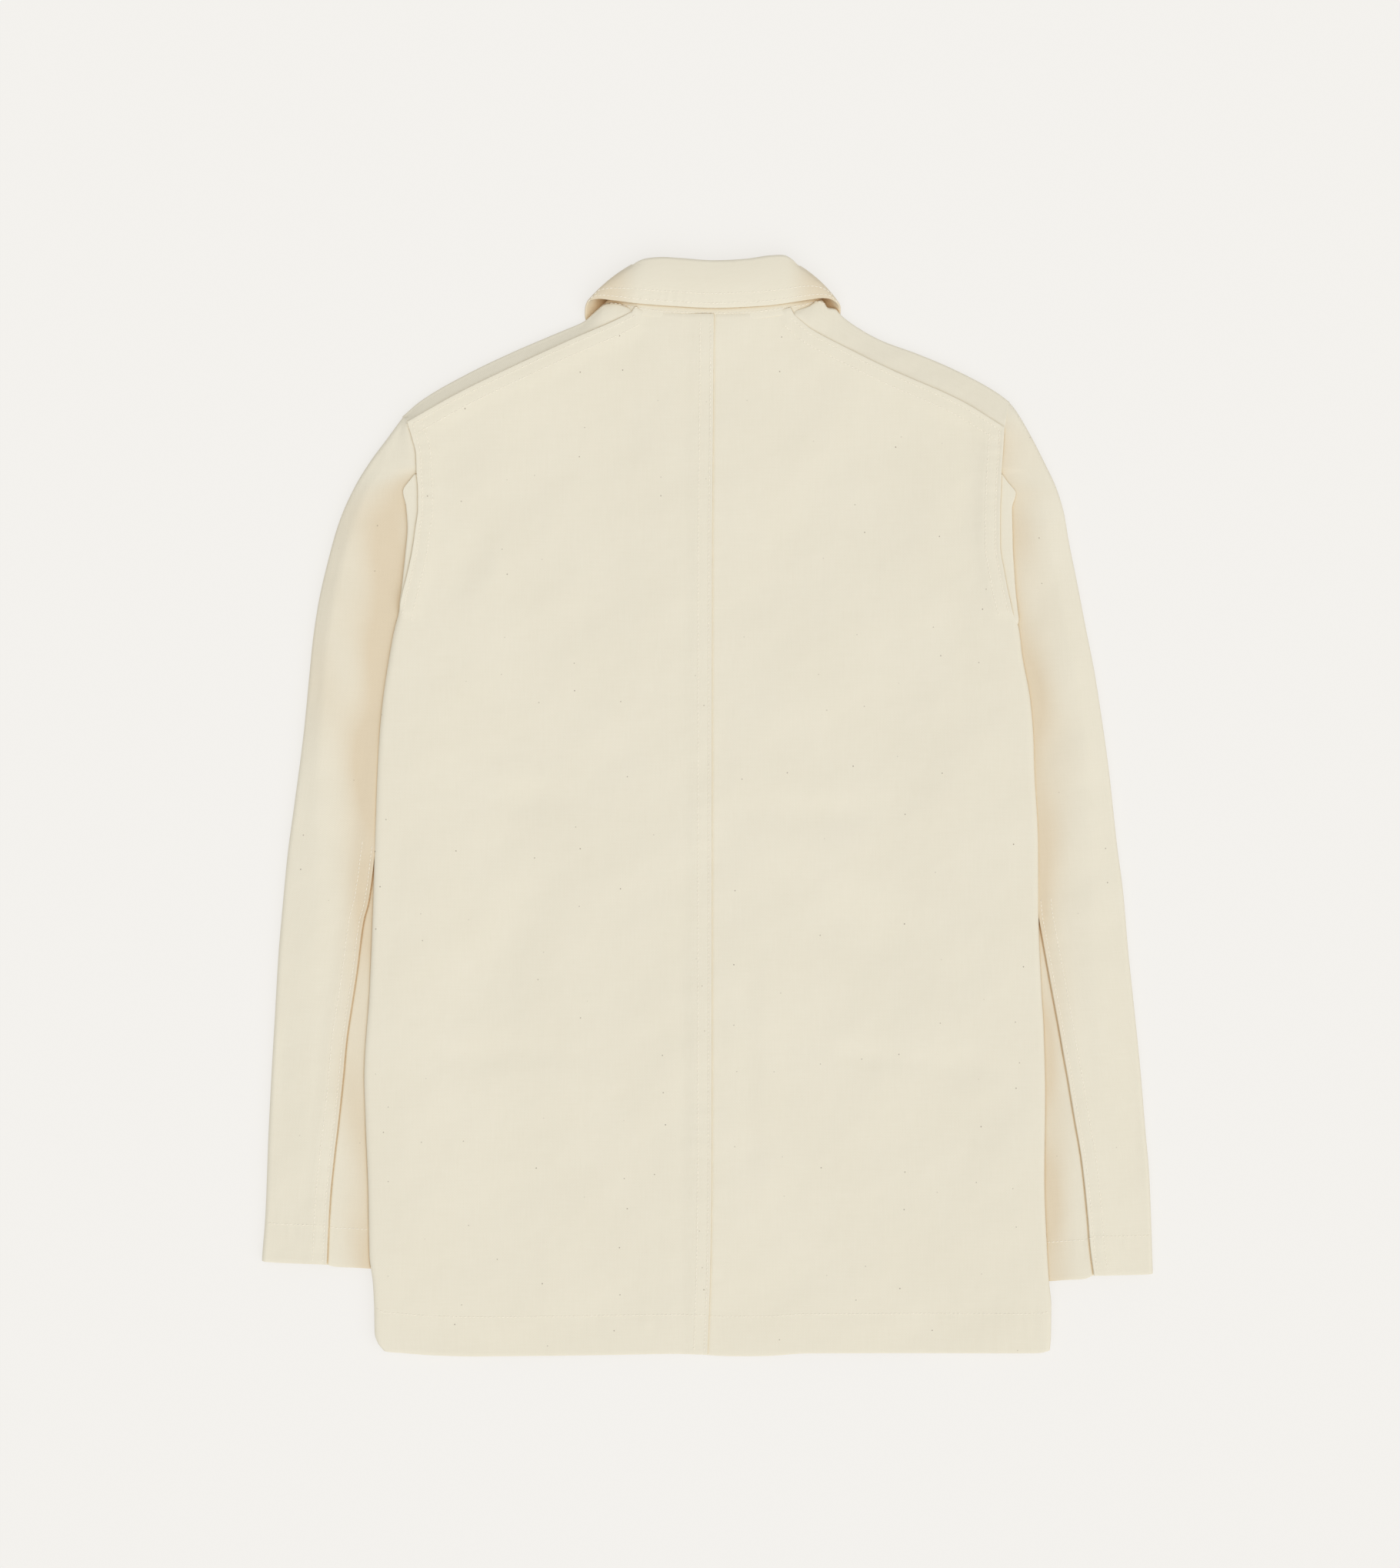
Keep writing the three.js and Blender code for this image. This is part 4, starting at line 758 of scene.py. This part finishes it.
def sleeve_path(side, y, first, fold, low, lap, shares):
    """Distances out and heights along one section, from its first point over the fold to its low end."""
    way = 1.0 if fold > first else -1.0
    turn_z = float(sleeve_z(side, fold - way * 2.6, y))
    r = (turn_z - FLOOR_Z) / 2
    start = fold - way * (0.6 + r)
    first = min(first, start - 1) if way > 0 else first
    outs = first + (start - first) * shares
    z = sleeve_z(side, outs, y) + lap(outs)
    path = [(o, h) for o, h in zip(outs, z)]
    for a in np.linspace(0, math.pi, 15)[1:]:
        path.append((start + way * r * math.sin(a), FLOOR_Z + r + r * math.cos(a)))
    for f in np.linspace(0, 1, 15)[1:]:
        path.append((lerp(start, low, f), FLOOR_Z))
    return path


UPPER_SHARES = spread([0, 0.03, 0.3, 1], [4, 12, 22])
UNDER_SHARES = spread([0, 0.06, 0.15, 0.3, 1], [3, 16, 6, 18])


def sleeve_rows(side, ys, top, fold, low, lap, shares):
    rows = []
    for y0 in ys:
        def lap_here(outs):
            return lap(outs, y0)
        path = np.array(sleeve_path(side, y0, top(y0), fold(y0), low(y0), lap_here, shares))
        y = np.full(len(path), float(y0))
        up = y0 - side.cuff_y
        if up < 40:
            y = lerp(side.cuff(path[:, 0]) + up, y, smooth(up / 40))
            lift = 0.16 * pucker(path[:, 0]) * bell((up - 24) / 12)
            lift = lift + 0.14 * smooth((TURN + 9 - up) / 18)
            path[:, 1] += np.where(path[:, 1] > 2.5, lift, 0)
        rows.append(np.stack([side.sign * path[:, 0], y, path[:, 1]], -1))
    return np.array(rows)


def armhole(side, y):
    return np.where(y > side.shoulder_y, side.cap(y), side.edge(y))


CUFF_ROWS = 13  # rows of the cuff that are doubled inside


def sleeve_upper(side):
    def top(y):
        under = smooth((y - UNDER_TOP_Y) / 1.5)  # from its own back seam to the armhole
        return float(lerp(side.seam(y), armhole(side, y) - 3.5 * smooth((side.cap_y - y) / 6), under))

    def lap(outs, y):
        d = outs - side.seam(y)
        shown = smooth((outs - side.edge(y) + 2) / 4) * (1 - smooth((y - 30) / 40))
        return (LAP * band(d) + rows_dent(d, y + 70, 2.5, 10.2)) * shown

    def low(y):
        arm = float(side.front_arm(y)) + 0.4 if y > 150 else 0.0
        return max(float(front_seam(y)) + 0.1, arm)
    ys = spread([side.cuff_y, side.cuff_y + TURN, 236, 250, side.cap_y], [12, 220, 10, 14])
    grid = sleeve_rows(side, ys, top, lambda y: float(side.sleeve(y)), low, lap, UPPER_SHARES)
    return [shell(turn_in(grid, -side.sign, CUFF_ROWS), -side.sign)]


def flat_layer(side, ys, inner, outer, z):
    """A level piece of cloth between two lines."""
    across = np.linspace(0, 1, 8)
    grid = [[(side.sign * lerp(inner(y), outer(y), f), y, z) for f in across] for y in ys]
    return shell(np.array(grid, float), 1)


def sleeve_under(side):
    def top(y):
        return float(side.seam(y)) + 8 * float(smooth((20 - y) / 40)) - 0.3 * float(smooth((y + 20) / 40))

    def channel(outs, y):
        d = side.seam(y) - outs  # the cloth dips beside the edge that lies on it
        return -0.9 * bell((d - 0.7) / 0.8) * smooth((20 - y) / 40)
    ys = spread([side.cuff_y, side.cuff_y + TURN, 95], [12, 150])
    grid = sleeve_rows(side, ys, top, lambda y: float(inner_fold(y)), lambda y: float(front_seam(y)) - 0.1,
                       channel, UNDER_SHARES)
    up = side.sign
    low_ys, high_ys = spread([94, 124, 160], [20, 12]), spread([93, 124, 236], [20, 30])
    return [
        shell(turn_in(grid, up, CUFF_ROWS), up),
        flat_layer(side, low_ys, floor_in, lambda y: front_seam(y) - 0.4, FLOOR_Z),
        flat_layer(side, high_ys, tongue_in, lambda y: side.seam(y) - 0.3, SLEEVE_LOW),
        armhole_strip(side),
    ]


def armhole_strip(side):
    """The strip of the under sleeve beside the armhole, folded under at its outer edge."""
    low_y = side.tuck_low
    rows = []
    for y in np.linspace(low_y - 26, UNDER_TOP_Y - 0.3, 72):
        gone = float(smooth((low_y + 4 - y) / 16))  # its lower end goes under the back's rolled edge
        first = float(armhole(side, np.array(y))) - 4 - 4 * gone
        fold = lerp(float(side.tuck(max(y, low_y))), float(side.edge(y)) - 3.2, gone)
        fold = max(fold, first + 4.2)
        top_z = float(back_plain(side, side.edge(y), y)) - 3.4 * gone
        low_z = min(float(sleeve_start(side, y) + SLEEVE_RISE * (1 - joined(y))) + 1.0, top_z)
        r = (top_z - low_z) / 2
        wide = min(2.6, fold - first - 1.5, r + 0.3)
        path = [(o, top_z) for o in np.linspace(first, fold - wide, 9)[:-1]]
        for a in np.linspace(0, math.pi, 15):
            path.append((fold - wide + wide * math.sin(a), low_z + r + r * math.cos(a)))
        path += [(fold - wide - 3 * f, low_z) for f in (0.5, 1)]
        rows.append([(side.sign * o, y, z) for o, z in path])
    return shell(np.array(rows, float), side.sign)


def painted_shade_beside_body(side):
    """How strongly painted warm shade darkens a sleeve at its points: most beside the body, and not on the
    armhole's strip.
    """
    def tone(points):
        x, y = points[:, 0], points[:, 1]
        d = np.abs(x) - np.maximum(side.edge(y), side.tuck(y))
        uneven = 1 + 0.9 * add_waves(WAVES[:9], x * 2.2, y * 1.3)
        fade = bell(np.maximum(d, 0) / side.painted_shade_wide(y))
        past_strip = np.maximum(smooth(d / 0.8), 1 - smooth((y - side.tuck_low + 8) / 8))
        return np.clip(side.tone(y) * uneven * fade * past_strip, 0, 1)
    return tone


for side, word in SIDES:
    for piece, parts in (("sleeve_upper_", sleeve_upper(side)), ("sleeve_under_", sleeve_under(side))):
        # both pieces of each sleeve get painted warm shade beside the body
        make_cloth(piece + word, parts, painted_shade_beside_body(side))


def shoulder_strip(side):
    """The part of a front that shows: from under the back's seam to the edge, and turned down there."""
    rows = []
    for u in np.linspace(0, 1, 260):
        seam_out = lerp(side.neck_out, side.shoulder_out, u)
        out = lerp(side.neck_out, side.strip_out, u)
        seam_y = float(side.shoulder(seam_out))
        a, b = np.array([seam_out, seam_y - 4]), np.array([out, float(side.ridge(out))])
        way = (b - a) / np.linalg.norm(b - a)
        high, low = float(back_plain(side, seam_out, seam_y)) + 0.4, float(side.ridge_z(out))
        r = min(1.7, low * 0.42)
        b = b - way * r
        length = np.linalg.norm(b - a)
        row = []
        for v in np.linspace(0, 1, 17):
            x, y = lerp(a, b, v)
            q = max(0, (v * length - 3) / max(length - 3, 1))
            puff = 0.5 * math.sin(math.pi * q) * float(smooth((104 - out) / 30))
            wave = float(add_waves(WAVES[9:], side.sign * x * 1.5, y * 1.5)) * math.sin(math.pi * v) ** 0.5
            row.append((side.sign * x, y, lerp(high, low, q ** 1.15) + puff + wave))
        for turn in np.linspace(0, math.pi, 10)[1:]:
            x, y = b + way * r * math.sin(turn)
            row.append((side.sign * x, y, low - r * (1 - math.cos(turn))))
        rows.append(row)
    return shell(np.array(rows, float), 1)


# fronts: the solids' own form, made smooth, under a fine shell for the strip over the shoulder
def front_panel(side, node):
    mesh = bpy.data.meshes.new(node)
    bm = bmesh.new()
    bm.from_mesh(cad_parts[node].data)
    bmesh.ops.remove_doubles(bm, verts=bm.verts, dist=1e-6)
    bmesh.ops.join_triangles(bm, faces=bm.faces[:], angle_face_threshold=math.radians(50),
                             angle_shape_threshold=math.radians(70))
    crease = bm.edges.layers.float.new("crease_edge")
    for e in bm.edges:
        if len(e.link_faces) == 2 and e.calc_face_angle(0) > math.radians(62):
            e[crease] = 0.75
    bm.to_mesh(mesh)
    bm.free()
    rough = add_object(node + "_rough", mesh)
    made = rough.modifiers.new("smooth", "SUBSURF")
    made.levels = made.render_levels = 2
    fine = rough.evaluated_get(bpy.context.evaluated_depsgraph_get()).data
    co = np.empty(len(fine.vertices) * 3)
    fine.vertices.foreach_get("co", co)
    co = co.reshape(-1, 3) * 1000
    quads = np.empty(len(fine.loops), dtype=np.int32)
    fine.loops.foreach_get("vertex_index", quads)
    bpy.data.objects.remove(rough)
    out, y, z = np.abs(co[:, 0]), co[:, 1], co[:, 2]
    seam_y = side.shoulder(np.clip(out, side.neck_out, side.shoulder_out))
    lift = (strip_z(side, out, y) - 1.9 - FRONT_TOP) * smooth((y - seam_y + 6) / 3)
    co[:, 2] = np.where(z > FLOOR_Z, FLOOR_Z + (z - FLOOR_Z) * (1 + lift / (FRONT_TOP - FLOOR_Z)), z)
    make_cloth(node, [(co, quads.reshape(-1, 4), co[:, :2]), shoulder_strip(side)])


for side, word in SIDES:
    front_panel(side, "front_" + word)

# stitches: length, distance from one to the next, and radius of the thread
STITCH, PITCH, THREAD = 2.3, 3.1, 0.25
# distances of the two rows from the centre seam, the other body seams, a sleeve's seam, the collar's edge
CENTRE_ROWS, BODY_ROWS, SLEEVE_ROWS, COLLAR_ROWS = (2.6, 10.4), (2.6, 10), (2.4, 10), (2.6, 9.8)
CUFF_LINE = -312  # about where a cuff's row of stitches is


def resample(path, pitch):
    path = np.array(path, float)
    step = np.hypot(*np.diff(path, axis=0).T)
    s = np.concatenate([[0], np.cumsum(step)])
    want = np.arange(pitch / 2, s[-1], pitch)
    return np.stack([np.interp(want, s, path[:, 0]), np.interp(want, s, path[:, 1])], -1)


def offset(path, d):
    path = np.array(path, float)
    t = np.gradient(path, axis=0)
    t /= np.linalg.norm(t, axis=1, keepdims=True)
    return path + np.stack([-t[:, 1], t[:, 0]], -1) * d


def stitch_rows():
    seam = [(back_seam_x(y), y) for y in np.linspace(-404, 356, 200)]
    rows = [offset(seam, d) for d in CENTRE_ROWS]
    for side in (LEFT, RIGHT):
        s = side.sign
        arm_low, sleeve_high = (138, -30) if s < 0 else (142, -70)  # where the seams go under the body
        arm = [(s * side.edge(y), y) for y in np.linspace(arm_low, side.shoulder_y - 1, 90)]
        outs = np.linspace(side.neck_out + 1, side.shoulder_out - 1, 110)
        shoulder = [(s * o, side.shoulder(o)) for o in outs]
        for d in BODY_ROWS:
            rows += [offset(arm, s * d), offset(shoulder, -s * d)]
        outs = np.linspace(1, side.edge(HEM_Y + TURN + 1) - 2, 120)
        rows.append(np.array([(s * o, side.hem(o) + TURN + 0.3) for o in outs], float))
        outs = np.linspace(float(side.edge(CUFF_LINE)) + 1, side.sleeve(CUFF_LINE) - 2, 60)
        rows.append(np.array([(s * o, side.cuff(o) + TURN) for o in outs], float))
        ys = np.linspace(float(side.cuff(285)) + 1, sleeve_high, 130)
        sleeve = [(s * side.seam(y), y) for y in ys]
        rows += [offset(sleeve, -s * d) for d in SLEEVE_ROWS]
    # collar: two rows above its edge, and one on the stand
    back = [k for k, row in enumerate(collar_points) if row[-1][2] > 6.5]
    edge = collar_points[back[0]:back[-1] + 1]
    rows += [path_above(edge, d) for d in COLLAR_ROWS]
    rows.append(np.array([lerp(row[0], row[STAND_STEPS], 0.11)[:2] for row in edge]))
    return rows


def path_above(edge, d):
    """A path on the collar's fall, at this distance from its edge."""
    out = []
    for row in edge:
        fall = row[STAND_STEPS + ROLL_STEPS:][::-1]
        s = np.concatenate([[0], np.cumsum(np.linalg.norm(np.diff(fall, axis=0), axis=1))])
        out.append([np.interp(d, s, fall[:, 0]), np.interp(d, s, fall[:, 1])])
    return np.array(out)


def stitches(name, targets, material):
    """All stitches as one mesh, each a short piece of thread on the highest of the targets."""
    graph = bpy.context.evaluated_depsgraph_get()
    trees = [BVHTree.FromObject(o, graph) for o in targets]

    def top_at(x, y):
        best, normal = None, None
        for tree in trees:
            hit, n, _, _ = tree.ray_cast(Vector((x * 0.001, y * 0.001, 0.1)), Vector((0, 0, -1)))
            if hit is not None and (best is None or hit.z > best):
                best, normal = hit.z, n
        return best, normal
    sides = 6
    rings = [(-0.5, 0.35), (-0.36, 0.95), (0, 1.1), (0.36, 0.95), (0.5, 0.35)]
    points, faces = [], []
    for row in stitch_rows():
        places = resample(row, PITCH)
        heading = np.gradient(places, axis=0)
        for (x, y), (dx, dy) in zip(places, heading):
            z, n = top_at(x, y)
            if z is None:
                continue
            size = math.hypot(dx, dy)
            t = Vector((dx / size, dy / size, 0))
            t.rotate(Euler((0, 0, rng.normal(0, 0.05))))
            t = (t - n * t.dot(n)).normalized()
            side_way = n.cross(t)
            c = Vector((x, y, z * 1000 + THREAD * 0.35))
            length = STITCH * rng.uniform(0.92, 1.06)
            base = len(points)
            for along, fat in rings:
                sink = (abs(along) * 2) ** 3 * 0.22
                for k in range(sides):
                    a = 2 * math.pi * k / sides
                    round_it = (side_way * math.cos(a) + n * math.sin(a)) * THREAD * fat
                    points.append(tuple(c + t * along * length + round_it - n * sink))
            for r in range(len(rings) - 1):
                for k in range(sides):
                    a, b = base + r * sides + k, base + r * sides + (k + 1) % sides
                    faces.append((a, b, b + sides, a + sides))
            faces.append(tuple(base + k for k in range(sides))[::-1])
            faces.append(tuple(base + (len(rings) - 1) * sides + k for k in range(sides)))
    mesh = bpy.data.meshes.new(name)
    mesh.from_pydata([(x * 0.001, y * 0.001, z * 0.001) for x, y, z in points], [], faces)
    mesh.polygons.foreach_set("use_smooth", np.ones(len(mesh.polygons), dtype=bool))
    mesh.materials.append(material)
    mesh.update()
    return add_object(name, mesh)


for node, obj in cloth.items():
    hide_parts(node)
    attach(obj, "root")
sewing = stitches("stitches", list(cloth.values()), thread)
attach(sewing, "root")

for k in range(1, BUTTONS + 1):
    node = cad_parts["button_%d" % k]
    node.data.materials.clear()
    node.data.materials.append(horn)

# floor, light and camera
bpy.ops.mesh.primitive_plane_add(size=8, location=(0, 0, -0.0004))
floor = bpy.context.object
floor.name = "ground"
ground = Nodes("ground", Base_Color=(0.24, 0.236, 0.229), Roughness=0.9, Specular_IOR_Level=0.0,
               Emission_Color=(1, 0.981, 0.945), Emission_Strength=0.66)
floor.data.materials.append(ground.material)

world = bpy.data.worlds.new("studio")
bpy.context.scene.world = world
world.use_nodes = True
sky = world.node_tree.nodes["Background"].inputs
sky["Color"].default_value = (1, 1, 1, 1)
sky["Strength"].default_value = 0.5
lamp = bpy.data.lights.new("softbox", "SUN")
lamp.angle = 1.7
lamp.energy = 1.79
lamp.color = (1, 0.99, 0.975)
softbox = add_object("softbox", lamp)
softbox.location = (0.8, -1.3, 3.0)
softbox.rotation_euler = Vector((-0.8, 1.3, -3.0)).to_track_quat("-Z", "Y").to_euler()

camera = bpy.data.cameras.new("camera")
camera.sensor_fit = "VERTICAL"
camera.sensor_height = 36
camera.lens = 36 * 3.0 / 1.1617
eye = add_object("camera", camera)
eye.location = (-0.0057, 0.0148, 3.0)
bpy.context.scene.camera = eye
bpy.context.scene.view_settings.view_transform = "Standard"
